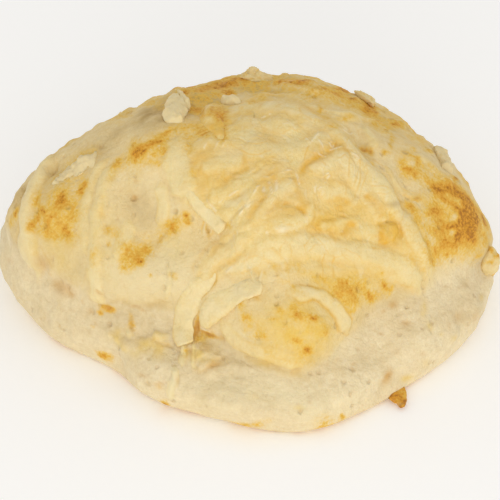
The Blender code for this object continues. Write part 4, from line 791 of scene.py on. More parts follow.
class Skin:
    """The outer surface as a grid over angle and way walked, read at any place in between.
    The columns' angles are u - gather * cos(u), which is closest together at the front."""

    def __init__(self):
        even = np.arange(FINE_COLUMNS) / FINE_COLUMNS * 2 * np.pi
        self.angle = even - FRONT_GATHER * np.cos(even)
        radius, height, self.length, rim_share = profiles(self.angle, FINE_ROWS)
        self.share = np.linspace(0, 1, FINE_ROWS)
        self.below = self.share[None, :] - rim_share[:, None]
        way = self.share[None, :] * self.length[:, None]
        cos, sin = np.cos(self.angle)[:, None], np.sin(self.angle)[:, None]
        self.a, self.b = way * cos, way * sin
        form = np.stack([radius * cos - CENTRE[0], radius * sin - CENTRE[1], height], axis=-1)
        self.squeeze = radius / np.maximum(way, 1e-6)
        self.squeeze[:, 0] = 1
        rise = form_relief(self.a, self.b, self.squeeze, form)
        rise[:, 0] = rise[:, 1].mean()
        fade = np.clip(form[..., 2] / FOOT_FADE, 0, 1)
        self.points = form + (rise * fade)[..., None] * outward(form)
        self.points[..., 2] = np.maximum(self.points[..., 2], 0)
        self.normals = outward(self.points)
        self.rim = rim_share * self.length

    def column(self, angle):
        """The place of an angle between the columns."""
        start = self.angle[0]
        turned = (angle - start) % (2 * np.pi) + start
        known = np.concatenate([self.angle, [start + 2 * np.pi]])
        return np.interp(turned, known, np.arange(FINE_COLUMNS + 1))

    def read(self, table, a, b):
        """A table's value at places (a, b) of the laid-out surface."""
        column = self.column(np.arctan2(b, a))
        c0 = np.floor(column).astype(int) % FINE_COLUMNS
        c1 = (c0 + 1) % FINE_COLUMNS
        fc = column - np.floor(column)
        length = self.length[c0] * (1 - fc) + self.length[c1] * fc
        row = np.clip(np.hypot(a, b) / length, 0, 1) * (FINE_ROWS - 1)
        r0 = np.minimum(np.floor(row).astype(int), FINE_ROWS - 2)
        fr = row - r0
        if table.ndim == 3:
            fc, fr = fc[..., None], fr[..., None]
        upper = table[c0, r0] * (1 - fr) + table[c0, r0 + 1] * fr
        lower = table[c1, r0] * (1 - fr) + table[c1, r0 + 1] * fr
        return upper * (1 - fc) + lower * fc

    def at(self, a, b):
        """Points and normals at places (a, b) of the laid-out surface."""
        normal = self.read(self.normals, a, b)
        return self.read(self.points, a, b), normal / np.linalg.norm(normal, axis=-1, keepdims=True)


def dense_path(path, step=0.5):
    """Points every step on a smooth curve through a path's points."""
    path = np.asarray(path, float)
    ends = np.vstack([2 * path[0] - path[1], path, 2 * path[-1] - path[-2]])
    part = np.linspace(0, 1, 16, endpoint=False)[:, None]
    finely = np.vstack([catmull_rom(*ends[k:k + 4], part) for k in range(len(path) - 1)] + [path[-1:]])
    walked = np.concatenate([[0], np.cumsum(np.linalg.norm(np.diff(finely[:, :2], axis=0), axis=1))])
    even = np.linspace(0, walked[-1], max(4, int(round(walked[-1] / step)) + 1))
    return np.stack([np.interp(even, walked, finely[:, k]) for k in range(finely.shape[1])], axis=1)


def stirred(points, stirring):
    """Points moved about by noise: size, amount and first seed of each layer."""
    moved = points.copy()
    for size, amount, seed in stirring:
        moved += amount * np.stack([noise(points, size, seed + k) for k in range(3)], axis=-1)
    return moved


def near_path(skin, points, path, reach):
    """Distance of points to a path on the skin, and how far along it they are, 9 and 0 out of reach."""
    flat = dense_path(path, 0.7)
    line, _ = skin.at(flat[:, 0], flat[:, 1])
    start, step = line[:-1], np.diff(line, axis=0)
    away = np.full(points.shape[:-1], 9.0)
    along = np.zeros(points.shape[:-1])
    close = np.all((points > line.min(axis=0) - reach) & (points < line.max(axis=0) + reach), axis=-1)
    offset = points[close][:, None] - start[None]
    part = np.clip((offset * step).sum(-1) / (step ** 2).sum(-1), 0, 1)
    distance = np.linalg.norm(offset - part[..., None] * step, axis=-1)
    nearest = distance.argmin(axis=1)
    pick = np.arange(len(nearest))
    away[close] = distance[pick, nearest]
    along[close] = (nearest + part[pick, nearest]) / len(step)
    return away, along


def cross_profile(across, crispness):
    """Height across a strand from its middle at 0 to its edge at 1: one minus a power, to a power."""
    inner = np.clip(1 - np.abs(across) ** (2 + 2.5 * crispness), 0, 1)
    return inner ** (1.7 - 1.0 * crispness)


def stray_strands():
    """Short curved shreds at random places on the melted sheet: broad soft ones and thin pale ones."""
    rng = np.random.default_rng(STRAY_SEED)
    reach = outline_reach(SHEET_OUTLINE, np.arange(360) / 360 * 2 * np.pi)
    strands = []
    for count, lengths, half_widths, rises, crisp, pale, gold in STRAY_STRANDS:
        for _ in range(count):
            bearing, out = rng.uniform(0, 2 * np.pi), rng.uniform(0.05, 0.97) ** 0.6
            middle = np.array(SHEET_CENTRE) + out * reach[int(np.degrees(bearing)) % 360] * np.array(
                [np.cos(bearing), np.sin(bearing)])
            turns = rng.uniform(0, np.pi) + rng.normal(0, 0.35) * np.array([-1, 0, 1])
            steps = rng.uniform(*lengths) / 2 * np.stack([np.cos(turns), np.sin(turns)], axis=1)
            strands.append(((middle - steps[0], middle, middle + steps[2]), rng.uniform(*half_widths),
                            rng.uniform(*rises), crisp, rng.uniform(*pale), rng.uniform(*gold)))
    return strands


def outline_reach(outline, bearing):
    """How far an outline reaches from the sheet's middle in each direction: its points as bearing
    and distance, joined evenly and smoothed over a few degrees."""
    corner = np.array(outline) - SHEET_CENTRE
    known = np.arctan2(corner[:, 1], corner[:, 0]) % (2 * np.pi)
    distance = np.hypot(corner[:, 0], corner[:, 1])
    order = np.argsort(known)
    fine = np.arange(1440) / 1440 * 2 * np.pi
    reach = np.interp(fine, known[order], distance[order], period=2 * np.pi)
    weight = np.exp(-(np.arange(-40, 41) / (OUTLINE_SMOOTHING * 4)) ** 2)
    weight /= weight.sum()
    reach = sum(w * np.roll(reach, k - 40) for k, w in enumerate(weight))
    return np.interp(bearing, fine, reach, period=2 * np.pi)


def inside_outline(outline, a, b):
    """Distance from places to an outline towards the sheet's middle, negative outside it."""
    from_a, from_b = a - SHEET_CENTRE[0], b - SHEET_CENTRE[1]
    reach = outline_reach(outline, np.arctan2(from_b, from_a) % (2 * np.pi))
    return reach - np.hypot(from_a, from_b)


def smooth_step(value, low, high):
    """0 below low, 1 above high, smooth between."""
    part = np.clip((value - low) / (high - low), 0, 1)
    return part * part * (3 - 2 * part)


def pores(points, below):
    """Depth of small round pores scattered over the dough, in mm: a pore sits in some cells of a
    shifted cubic lattice, and its depth falls off with the distance to its middle."""
    depth = np.zeros(points.shape[:-1])
    for cell, share, radius, seed in PORES:
        rng = np.random.default_rng(seed)
        middle = rng.uniform(0.25, 0.75, (NOISE_CELLS,) * 3 + (3,))
        here = rng.uniform(0, 1, (NOISE_CELLS,) * 3)
        size = rng.uniform(0.45, 1.0, (NOISE_CELLS,) * 3) * radius
        index = np.floor(points / cell + NOISE_OFFSET).astype(int)
        part = points / cell + NOISE_OFFSET - index
        index = tuple((index % NOISE_CELLS).transpose(2, 0, 1))
        away = np.linalg.norm((part - middle[index]) * cell, axis=-1)
        depth = np.maximum(depth, (here[index] < share) * size[index] * np.exp(-(away / size[index]) ** 2))
    return PORE_DEPTH * depth * (CRUST_PORES + smooth_step(below, -0.15, 0.05))


def filled(skin, a, b):
    """Points and normals of the surface with the tear partly filled: places between the crust's
    edge and the ledge's lip are moved towards the straight line between those two."""
    points, normals = skin.at(a, b)
    below = skin.read(skin.below, a, b)
    angle = np.arctan2(b, a)
    column = skin.column(angle)
    whole = np.floor(column).astype(int)
    part = column - whole
    rim, length = (values[whole % FINE_COLUMNS] * (1 - part) + values[(whole + 1) % FINE_COLUMNS] * part
                   for values in (skin.rim, skin.length))
    lip = rim + TEAR_WIDTH * length
    between = np.clip(below / TEAR_WIDTH, 0, 1)[..., None]
    rim_points, rim_normals = skin.at(rim * np.cos(angle), rim * np.sin(angle))
    lip_points, lip_normals = skin.at(lip * np.cos(angle), lip * np.sin(angle))
    share = (TEAR_FILL * np.clip(2.5 * tornness(a, b), 0, 1) * (below > 0) * (below < TEAR_WIDTH))[..., None]
    points = points + share * (rim_points + between * (lip_points - rim_points) - points)
    normals = normals + share * (rim_normals + between * (lip_normals - rim_normals) - normals)
    return points, normals / np.linalg.norm(normals, axis=-1, keepdims=True)


def streaks(points, a, b):
    """Unevenness that runs down the slope: noise over a place's direction and its way walked, in
    which the way counts for less, stirred a little."""
    angle, way = np.arctan2(b, a), np.hypot(a, b)
    drawn = np.stack([STREAK_ROUND * np.cos(angle), STREAK_ROUND * np.sin(angle), STREAK_DOWN * way], axis=-1)
    size, amount, seed = STREAK_STIR
    drawn += amount * noise(points, size, seed)[..., None]
    return layers(drawn, STREAKS)


def tornness(a, b):
    """How wide the tear is in the direction of a place, of its widest."""
    return np.clip(around(TEAR, np.arctan2(b, a)), 0, DEEPEST_TEAR) / DEEPEST_TEAR


class Patch:
    """Places (a, b) on the skin, dressed step by step: their points and normals, the height that is
    added along these, how pale and golden the melted cheese is, and where a highlight is painted on it."""

    def __init__(self, skin, a, b):
        self.skin, self.a, self.b = skin, a, b
        self.points, self.normals = filled(skin, a, b)
        self.warped = stirred(self.points, WARP)
        self.squeeze, self.below = skin.read(skin.squeeze, a, b), skin.read(skin.below, a, b)
        self.in_tear = tornness(a, b) * np.exp(-((self.below - 0.14) / 0.1) ** 2)
        self.open_dough = smooth_step(self.below + 0.02 * noise(self.points, 5.0, 61), -0.02, 0.03)
        inside = inside_outline(SHEET_OUTLINE, a, b)
        ragged = inside + 1.2 * noise(self.points, 4.0, 62) + 0.6 * noise(self.points, 1.5, 63)
        self.level = smooth_step(inside, 0, SHEET_EDGE)
        self.cheese = smooth_step(ragged, -2.0, SHEET_EDGE)
        self.height = np.zeros(a.shape)
        self.pale, self.gold, self.glint = np.zeros(a.shape), np.zeros(a.shape), np.zeros(a.shape)

    def bump(self, *place):
        """A bump at a place of the laid-out surface, from 0 to 1."""
        return bump(self.a, self.b, self.squeeze, *place)

    def spots(self, table, spread=1.0):
        """How strongly a table's spots cover the places."""
        return spotted(self.a, self.b, self.squeeze, table, spread)

    def add_dough(self):
        """Grain, craggy crust, open crumb, ragged dough in the tear, lumps, pits and pores."""
        a, b, points = self.a, self.b, self.points
        self.height += layers(points, FINE_CRAGS)
        self.height -= self.open_dough * folds(points, TORN_CRUMB)
        craggy = smooth_step(b + 2.5 * noise(points, 6.0, 66), 3.0, 12.0)
        by_ends = smooth_step(np.abs(a - 3) + 3 * noise(points, 6.0, 67), 40.0, 50.0)
        self.height += np.maximum(craggy, 0.6 * by_ends) * layers(points, ROUGH_CRUST)
        self.height += self.in_tear * folds(points, RAGGED_DOUGH)
        for *place, rise in DOUGH_LUMPS:
            self.height += rise * self.bump(*place)
        clear = smooth_step(np.abs(inside_outline(FINE_OUTLINE, a, b)), 1.0, 3.0)
        for place_a, place_b, down, across, turn, depth in PITS:
            pit = self.bump(place_a, place_b, max(down, SMALLEST_PIT), max(across, SMALLEST_PIT), turn)
            self.height -= clear * PIT_SHARE * depth * pit
        self.pore = clear * pores(points, self.below)
        self.height -= self.pore

    def add_melted_cheese(self):
        """The sheet's thickness and its strands, which pile up where they cross, with golden seams
        between them and pale crests."""
        total = 0
        for path, half_width, rise, crispness, paleness, edge_gold in (*MELTED_STRANDS, *stray_strands()):
            away, along = near_path(self.skin, self.warped, path, 2.0 * half_width)
            taper = np.clip(np.minimum(along, 1 - along) * 6 + 0.4, 0, 1)
            across = away / (half_width * taper)
            shape = taper * cross_profile(np.minimum(across, 1), crispness)
            total = total + (rise * shape) ** CREASE_SHARPNESS
            self.pale = np.maximum(self.pale, paleness * shape)
            self.gold = np.maximum(self.gold, edge_gold * taper * np.exp(-((across - 1.1) / 0.2) ** 2))
            self.cheese = np.maximum(self.cheese, 0.8 * np.minimum(1.5 * shape, 1) * (rise > 0.3))
        melted = total ** (1 / CREASE_SHARPNESS)
        self.height += SHEET_LEVEL * self.level + MELT_RISE * melted
        uneven = 0.6 + 0.9 * noise(self.points, 4.5, 68)
        seam = SEAM_GOLD * uneven * self.cheese * smooth_step(0.3 - melted, -0.25, 0.2)
        crest = CREST_CREAM * uneven * self.cheese * smooth_step(melted, 0.2, 0.75)
        self.gold = np.maximum(self.gold, seam)
        self.pale = np.maximum(self.pale, crest)

    def add_furrows(self):
        """Golden furrows, each a groove along its path that runs out at both ends."""
        for path, half_width, depth, tint in FURROWS:
            away, along = near_path(self.skin, self.warped, path, 5 * half_width)
            taper = np.clip(np.minimum(along, 1 - along) * 6 + 0.3, 0, 1)
            self.height -= depth * taper * np.exp(-(away / half_width) ** 2)
            self.gold = np.maximum(self.gold, tint * taper * np.exp(-(away / (1.5 * half_width)) ** 2))

    def add_glints(self):
        """Thin raised ridges with a painted white highlight, broken up along their length."""
        broken = smooth_step(noise(self.points, 0.7, 73), -0.5, 0.3)
        for path in GLINTS:
            away, _ = near_path(self.skin, self.points, path, 5 * GLINT_WIDTH)
            ridge = np.exp(-(away / GLINT_WIDTH) ** 2)
            self.height += GLINT_RISE * ridge
            self.glint = np.maximum(self.glint, ridge * broken)

    def add_beads(self):
        """A round golden bead, and a small white crumb."""
        bead_a, bead_b, radius, rise = GOLD_BEAD
        middle, _ = self.skin.at(np.array([bead_a]), np.array([bead_b]))
        away = np.linalg.norm(self.warped - middle[0], axis=-1) / radius
        self.height += rise * cross_profile(np.minimum(away, 1), BEAD_CRISPNESS)
        self.gold = np.maximum(self.gold, 1.1 * smooth_step(1.15 - away, 0, 0.3))
        self.crumb = self.bump(*WHITE_CRUMB)
        self.height += WHITE_CRUMB_RISE * self.crumb

    def toast(self):
        """How browned the places are: spots and washes, streaked down the slope and held below the
        hottest, lighter on pale cheese, with a broken line along the foot."""
        toast = 1 - (1 - TOAST_SHARE * self.spots(TOAST, TOAST_SPREAD)) * (1 - self.spots(WASHES, 1.1))
        toast *= 1 - self.spots(PALE)
        streaked = np.clip(1 + streaks(self.points, self.a, self.b), 0.2, 1.5)
        toast = np.minimum(toast * streaked, HOTTEST)
        toast *= 1 - 0.45 * np.clip(self.pale, 0, 1)
        edge = 1.0 - self.points[..., 2] + 0.5 * noise(self.points, 6.0, 64)
        foot = smooth_step(edge + 0.3 * noise(self.points, 2.0, 65), 0, 0.8)
        return np.maximum(toast, 0.6 * foot)

    def tints(self):
        """The values that the material reads, each from 0 to about 1."""
        cream = np.maximum(np.maximum(self.pale, self.crumb), 0.75 * self.spots(CREAMY, 1.2))
        return {
            "crust": 1 - self.open_dough, "cheese": self.cheese, "toast": self.toast(),
            "gold": self.gold, "pale": cream, "yellow": self.spots(YELLOW, 1.2),
            # tan of thin dough, and painted shade in hollows, under the lip and in the tear
            "tan": np.maximum(self.spots(TAN_AND_PAINTED_SHADE, 1.15), 0.35 * self.in_tear),
            # glint: painted highlight along the glints, and the white crumb's own white
            # painted shade where the crust turns away from the light, and in its seams
            "dusk": self.spots(PAINTED_SHADE_SPOTS), "glint": np.maximum(self.glint, 0.7 * self.crumb),
            # pit: painted shade in pits, dents and pores
            "pit": np.clip(np.maximum(self.spots(PITS, 1.2), PORE_SHADE_PER_MM * self.pore), 0, 1),
        }


def dressing(skin, a, b):
    """The finished surface at places (a, b): its points, normals, height above them and tints."""
    patch = Patch(skin, a, b)
    patch.add_dough()
    patch.add_melted_cheese()
    patch.add_furrows()
    patch.add_glints()
    patch.add_beads()
    patch.height *= np.clip(patch.points[..., 2] / FOOT_FADE, 0, 1)
    return patch.points, patch.normals, patch.height, patch.tints()


# --- meshes ----------------------------------------------------------------------------------------

def ring_faces(columns, rows, first=0):
    """Quads between neighbouring rows of a grid that closes round its columns."""
    across = np.arange(columns)
    here = first + np.arange(rows - 1)[:, None] * columns + across
    beside = first + np.arange(rows - 1)[:, None] * columns + (across + 1) % columns
    return np.stack([here, here + columns, beside + columns, beside], axis=-1).reshape(-1, 4)


def fan_faces(columns, pole, first, flip=False):
    """Triangles from a pole to a ring of points."""
    across = np.arange(columns)
    here, beside = first + across, first + (across + 1) % columns
    order = [here, beside] if not flip else [beside, here]
    return np.stack([np.full(columns, pole), *order], axis=-1)


def closed_grid(rings):
    """Points and faces of rows of rings (rows, columns, 3), closed by a point at either end."""
    rows, columns = rings.shape[:2]
    top, bottom = rings[0].mean(axis=0), rings[-1].mean(axis=0)
    points = np.vstack([rings.reshape(-1, 3), top[None], bottom[None]])
    count = rows * columns
    faces = ring_faces(columns, rows).tolist()
    faces += fan_faces(columns, count, 0).tolist()
    faces += fan_faces(columns, count + 1, (rows - 1) * columns, flip=True).tolist()
    return points, faces


def closed_tints(rows, columns, tints):
    """The tints at the points of a closed grid, ring by ring and then at its two ends. One number holds
    for the whole grid, a tint that isn't given is 0, and rings past the last given take its values."""
    values = {}
    for label in TINTS:
        value = np.atleast_2d(tints.get(label, 0.0)) * np.ones((1, columns))
        value = np.vstack([value, np.repeat(value[-1:], rows - len(value), 0)])
        values[label] = np.concatenate([value.ravel(), [value[0].mean()], [value[-1].mean()]])
    return values


def make_piece(name, rings, tints, material):
    """A smooth-shaded piece at the origin that rides on the body: rows of rings, closed at both ends."""
    points, faces = closed_grid(rings)
    mesh = bpy.data.meshes.new(name)
    mesh.from_pydata((points * MM).tolist(), [], faces)
    for label, value in closed_tints(*rings.shape[:2], tints).items():
        layer = mesh.attributes.new(label, "FLOAT", "POINT")
        layer.data.foreach_set("value", np.asarray(value, np.float32).ravel())
    mesh.materials.append(material)
    mesh.shade_smooth()
    piece = bpy.data.objects.new(name, mesh)
    bpy.context.scene.collection.objects.link(piece)
    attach(piece, "root")
    return piece


# --- materials -------------------------------------------------------------------------------------

def new_group(name, inputs, outputs):
    """A shader node group with named sockets. Inputs give their kind and value."""
    group = bpy.data.node_groups.new(name, "ShaderNodeTree")
    for label, (kind, value) in inputs.items():
        socket = group.interface.new_socket(label, in_out="INPUT", socket_type="NodeSocket" + kind)
        if value is not None:
            socket.default_value = value
    for label, kind in outputs.items():
        group.interface.new_socket(label, in_out="OUTPUT", socket_type="NodeSocket" + kind)
    return group, group.nodes.new("NodeGroupInput"), group.nodes.new("NodeGroupOutput")


class Nodes:
    """Short ways to add and link nodes in a tree."""

    def __init__(self, tree):
        self.tree = tree

    def put(self, socket, value):
        """A link or a value on a socket."""
        if isinstance(value, bpy.types.NodeSocket):
            self.tree.links.new(value, socket)
        else:
            socket.default_value = value

    def add(self, kind, settings=None, **inputs):
        """A node with settings on itself, and with values or links on its inputs, which are given by
        name, or by number as i0, i1 and so on."""
        node = self.tree.nodes.new("ShaderNode" + kind)
        for key, value in (settings or {}).items():
            setattr(node, key, value)
        for key, value in inputs.items():
            by_number = key[0] == "i" and key[1:].isdigit()
            self.put(node.inputs[int(key[1:]) if by_number else key], value)
        return node

    def noise(self, vector, scale, detail=3.0, roughness=0.55, distortion=0.0):
        """Noise from 0 to 1 on a vector."""
        node = self.add("TexNoise", Vector=vector, Scale=scale, Detail=detail, Roughness=roughness,
                        Distortion=distortion)
        return node.outputs["Fac"]

    def maths(self, operation, first, second=0.0, third=0.0, clamp=False):
        """One arithmetic step."""
        node = self.add("Math", {"operation": operation, "use_clamp": clamp}, i0=first, i1=second, i2=third)
        return node.outputs[0]

    def ramp(self, value, low, high, start=0.0, end=1.0):
        """A value moved from one range to another, held at its ends."""
        node = self.add("MapRange", Value=value)
        for index, number in zip((1, 2, 3, 4), (low, high, start, end)):
            node.inputs[index].default_value = number
        return node.outputs[0]

    def mix(self, factor, first, second):
        """One colour into another by a factor."""
        node = self.tree.nodes.new("ShaderNodeMix")
        node.data_type = "RGBA"
        for index, value in ((0, factor), (6, first), (7, second)):
            self.put(node.inputs[index], value)
        return node.outputs[2]

    def finish(self, shader, inputs):
        """Links and values on a shader's named inputs."""
        for label, value in inputs.items():
            self.put(shader.inputs[label], value)

    def value(self, name):
        """A piece's own value at its points."""
        return self.add("Attribute", {"attribute_name": name, "attribute_type": "GEOMETRY"}).outputs["Fac"]

    def group(self, group, **inputs):
        """A placed node group."""
        node = self.tree.nodes.new("ShaderNodeGroup")
        node.node_tree = group
        for key, value in inputs.items():
            self.put(node.inputs[key], value)
        return node.outputs


def toasting_group():
    """Browning: a base colour turns golden, orange and brown as heat rises, broken up by specks."""
    group, put_in, put_out = new_group(
        "toasting",
        {"Vector": ("Vector", None), "Base": ("Color", CRUST_CREAM), "Heat": ("Float", 0.0),
         "Speck size": ("Float", 900.0), "Break up": ("Float", 0.5)},
        {"Colour": "Color", "Brown": "Float"})
    n = Nodes(group)
    coarse_size = n.maths("MULTIPLY", put_in.outputs["Speck size"], 0.65)
    coarse = n.noise(put_in.outputs["Vector"], coarse_size, 6.0, 0.72)
    fine_size = n.maths("MULTIPLY", put_in.outputs["Speck size"], 3.3)
    fine = n.noise(put_in.outputs["Vector"], fine_size, 2.0, 0.6)
    specks = n.maths("ADD", n.maths("MULTIPLY", coarse, 0.5), n.maths("MULTIPLY", fine, 0.5))
    centred = n.maths("MULTIPLY", n.maths("SUBTRACT", specks, 0.5), put_in.outputs["Break up"])
    lift = n.maths("MULTIPLY", centred, n.ramp(put_in.outputs["Heat"], 0.0, 0.35, 0.0, 4.2))
    heat = n.maths("ADD", put_in.outputs["Heat"], lift, clamp=True)
    golden = n.mix(n.ramp(heat, 0.05, 0.42), put_in.outputs["Base"], GOLD)
    orange = n.mix(n.ramp(heat, 0.4, 0.78), golden, ORANGE_BROWN)
    brown = n.mix(n.ramp(heat, 0.78, 1.0), orange, DEEP_BROWN)
    group.links.new(brown, put_out.inputs["Colour"])
    group.links.new(heat, put_out.inputs["Brown"])
    return group


def mottling_group():
    """Uneven colour: one colour into another by noise at four sizes."""
    group, put_in, put_out = new_group(
        "mottling",
        {"Vector": ("Vector", None), "Light": ("Color", CRUMB_CREAM), "Dark": ("Color", CRUMB_SHADE),
         "Size": ("Float", 120.0)},
        {"Colour": "Color"})
    n = Nodes(group)
    blend = 0.0
    for times, weight, detail in MOTTLING:
        size = n.maths("MULTIPLY", put_in.outputs["Size"], times)
        layer = n.noise(put_in.outputs["Vector"], size, detail, 0.6)
        blend = n.maths("MULTIPLY_ADD", layer, weight, blend)
    group.links.new(n.mix(n.ramp(blend, 0.4, 0.6), put_in.outputs["Light"], put_in.outputs["Dark"]),
                    put_out.inputs["Colour"])
    return group


def crumb_group():
    """Fine baked grain: small pores from cells, on soft unevenness. The material paints shade in the pores.
    """
    group, put_in, put_out = new_group(
        "baked grain",
        {"Vector": ("Vector", None), "Pore size": ("Float", 900.0), "Pores": ("Float", 0.5)},
        {"Height": "Float", "Pore": "Float"})
    n = Nodes(group)
    warp = n.add("TexNoise", Vector=put_in.outputs["Vector"], Scale=300.0, Detail=2.0)
    shift = n.add("VectorMath", {"operation": "MULTIPLY_ADD"}, i0=warp.outputs["Color"], i1=(0.0016,) * 3,
                  i2=put_in.outputs["Vector"])
    cells = n.add("TexVoronoi", Vector=shift.outputs[0], Scale=put_in.outputs["Pore size"], Randomness=1.0)
    chance = n.add("SeparateColor", Color=cells.outputs["Color"])
    here = n.ramp(chance.outputs[0], 0.8, 0.95)
    pore = n.maths("MULTIPLY", n.ramp(cells.outputs["Distance"], 0.42, 0.12), here)
    pore = n.maths("MULTIPLY", pore, put_in.outputs["Pores"])
    grain_size = n.maths("MULTIPLY", put_in.outputs["Pore size"], 0.9)
    grain = n.noise(put_in.outputs["Vector"], grain_size, 4.0, 0.62)
    height = n.maths("SUBTRACT", n.maths("MULTIPLY", grain, 0.6), pore)
    group.links.new(height, put_out.inputs["Height"])
    group.links.new(pore, put_out.inputs["Pore"])
    return group


def new_material(name):
    """A material with its Principled shader and a helper for its nodes."""
    material = bpy.data.materials.new(name)
    material.use_nodes = True
    shader = material.node_tree.nodes["Principled BSDF"]
    return material, Nodes(material.node_tree), shader


def scone_material(groups):
    """Baked dough and melted cheese: pale crumb low down, yellower crust above, cheese over it,
    golden in its furrows, and browned where heat is high."""
    material, n, shader = new_material("baked dough and cheese")
    place = n.add("TexCoord").outputs["Object"]
    patchy = n.ramp(n.noise(place, 420.0, 3.0), 0.35, 0.62, 0.5, 1.2)
    crumb, crust, melted = (
        n.group(groups["mottling"], Vector=place, Light=light, Dark=dark, Size=size)["Colour"]
        for light, dark, size in ((CRUMB_CREAM, CRUMB_SHADE, 110.0), (CRUST_CREAM, CRUST_SHADE, 140.0),
                                  (CHEESE, CHEESE_DEEP, 180.0)))
    base = n.mix(n.value("crust"), crumb, crust)
    # tan of thin dough, and painted shade in hollows, under the lip, in the tear and at the skyline
    base = n.mix(n.maths("MULTIPLY", n.value("tan"), patchy, clamp=True), base, THIN_TAN_AND_SHADE)
    base = n.mix(n.value("cheese"), base, melted)
    # painted shade where the crust turns away from the light, and in its seams
    base = n.mix(n.maths("MULTIPLY", n.value("dusk"), patchy, clamp=True), base, PAINTED_SHADE_BROWN)
    base = n.mix(n.maths("MULTIPLY", n.value("pale"), 0.85, clamp=True), base, CHEESE_PALE)
    base = n.mix(n.maths("MULTIPLY", n.value("yellow"), patchy, clamp=True), base, SOAKED_YELLOW)
    base = n.mix(n.maths("MULTIPLY", n.value("gold"), patchy, clamp=True), base, FURROW_GOLD)
    # painted highlight along the glints, and the white crumb's own white
    base = n.mix(n.maths("MULTIPLY", n.value("glint"), 0.42, clamp=True), base, GLINT_WHITE)
    browned = n.group(groups["toasting"], Vector=place, Base=base, Heat=n.value("toast"), **SPECKS)
    grain = n.group(groups["baked grain"], Vector=place, **GRAIN)
    dry = n.maths("SUBTRACT", 1.0, n.value("cheese"), clamp=True)
    # painted shade in pits and pores, and in the grain's small pores on dry dough
    colour = n.mix(n.maths("MULTIPLY", n.value("pit"), 0.8, clamp=True), browned["Colour"], PORE_SHADE_BROWN)
    colour = n.mix(n.maths("MULTIPLY", n.maths("MULTIPLY", grain["Pore"], 0.35), dry), colour, PORE_SHADE_BROWN)
    dull = n.ramp(n.noise(place, 260.0, 2.0), 0.35, 0.7, *CHEESE_ROUGHNESS)
    rough = n.add("Mix", {"data_type": "FLOAT"}, i0=n.value("cheese"), i2=DRY_ROUGHNESS, i3=dull).outputs[0]
    ripple = n.maths("ADD", n.noise(place, 620.0, 5.0, 0.65, 0.4), n.maths("MULTIPLY", grain["Height"], dry))
    relief = n.add("Bump", Strength=BUMP_STRENGTH, Distance=BUMP_DEPTH, Height=ripple)
    n.finish(shader, {
        "Base Color": colour, "Roughness": rough, "Normal": relief.outputs["Normal"],
        "Subsurface Weight": SUBSURFACE_WEIGHT, "Subsurface Scale": SUBSURFACE_DEPTH,
        "Subsurface Radius": SUBSURFACE_COLOUR, "Specular IOR Level": SHINE})
    return material


# --- pieces ----------------------------------------------------------------------------------------

def make_dough(skin, material):
    """The dough: the skin with its dressing, closed by rings drawn in across the flat base, and
    lowered where the finer surface of the sheet lies over it."""
    a, b = skin.a[::2, ::2], skin.b[::2, ::2]
    points, normals, height, tints = dressing(skin, a, b)
    inside = inside_outline(FINE_OUTLINE, a, b)
    height -= COVER_HOLLOW * smooth_step(inside, COVER_EDGE, 2 * COVER_EDGE)
    height[:, 0] = height[:, 1].mean()
    points = points + height[..., None] * normals
    points[..., 2] = np.maximum(points[..., 2], 0)
    rings = points.transpose(1, 0, 2)[1:]
    inward = np.linspace(1, 0, BASE_ROWS + 1)[1:-1, None, None]
    foot = rings[-1] * (1, 1, 0)
    rings = np.concatenate([rings, foot[None] * inward])
    tints = {label: value.T[1:] for label, value in tints.items()}
    dough = make_piece("dough", rings, tints, material)
    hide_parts("scone")


def make_sheet(skin, material):
    """The melted sheet: rings of places about its middle on the dressed surface, whose rim dips
    into the dough, where an underside closes it."""
    bearing = np.arange(SHEET_COLUMNS) / SHEET_COLUMNS * 2 * np.pi
    reach = outline_reach(FINE_OUTLINE, bearing)
    share = np.linspace(0, 1, SHEET_ROWS + 1)[1:, None] ** 0.85
    a = SHEET_CENTRE[0] + share * reach * np.cos(bearing)
    b = SHEET_CENTRE[1] + share * reach * np.sin(bearing)
    points, normals, height, tints = dressing(skin, a, b)
    near_rim = 1 - np.clip((1 - share) * reach / COVER_EDGE, 0, 1)
    height += COVER_LIFT - COVER_DIP * near_rim ** 2
    top = points + height[..., None] * normals
    under_share = np.linspace(1, 0, UNDER_ROWS + 1)[1:-1, None]
    under, under_normals = filled(skin, SHEET_CENTRE[0] + under_share * reach * np.cos(bearing),
                                  SHEET_CENTRE[1] + under_share * reach * np.sin(bearing))
    rings = np.concatenate([top, under - 2 * COVER_HOLLOW * under_normals])
    make_piece("melted_cheese", rings, tints, material)


def eased(values, reach):
    """A moving mean along a run, mirrored about its ends."""
    before = 2 * values[:1] - values[reach:0:-1]
    after = 2 * values[-1:] - values[-2:-reach - 2:-1]
    padded = np.vstack([before, values, after])
    weight = np.hanning(2 * reach + 3)[1:-1]
    weight /= weight.sum()
    return sum(w * padded[k:k + len(values)] for k, w in enumerate(weight))


def spread_along(values, share):
    """Values at even places along a run, read at shares from 0 to 1."""
    return np.interp(share, np.linspace(0, 1, len(values)), values)


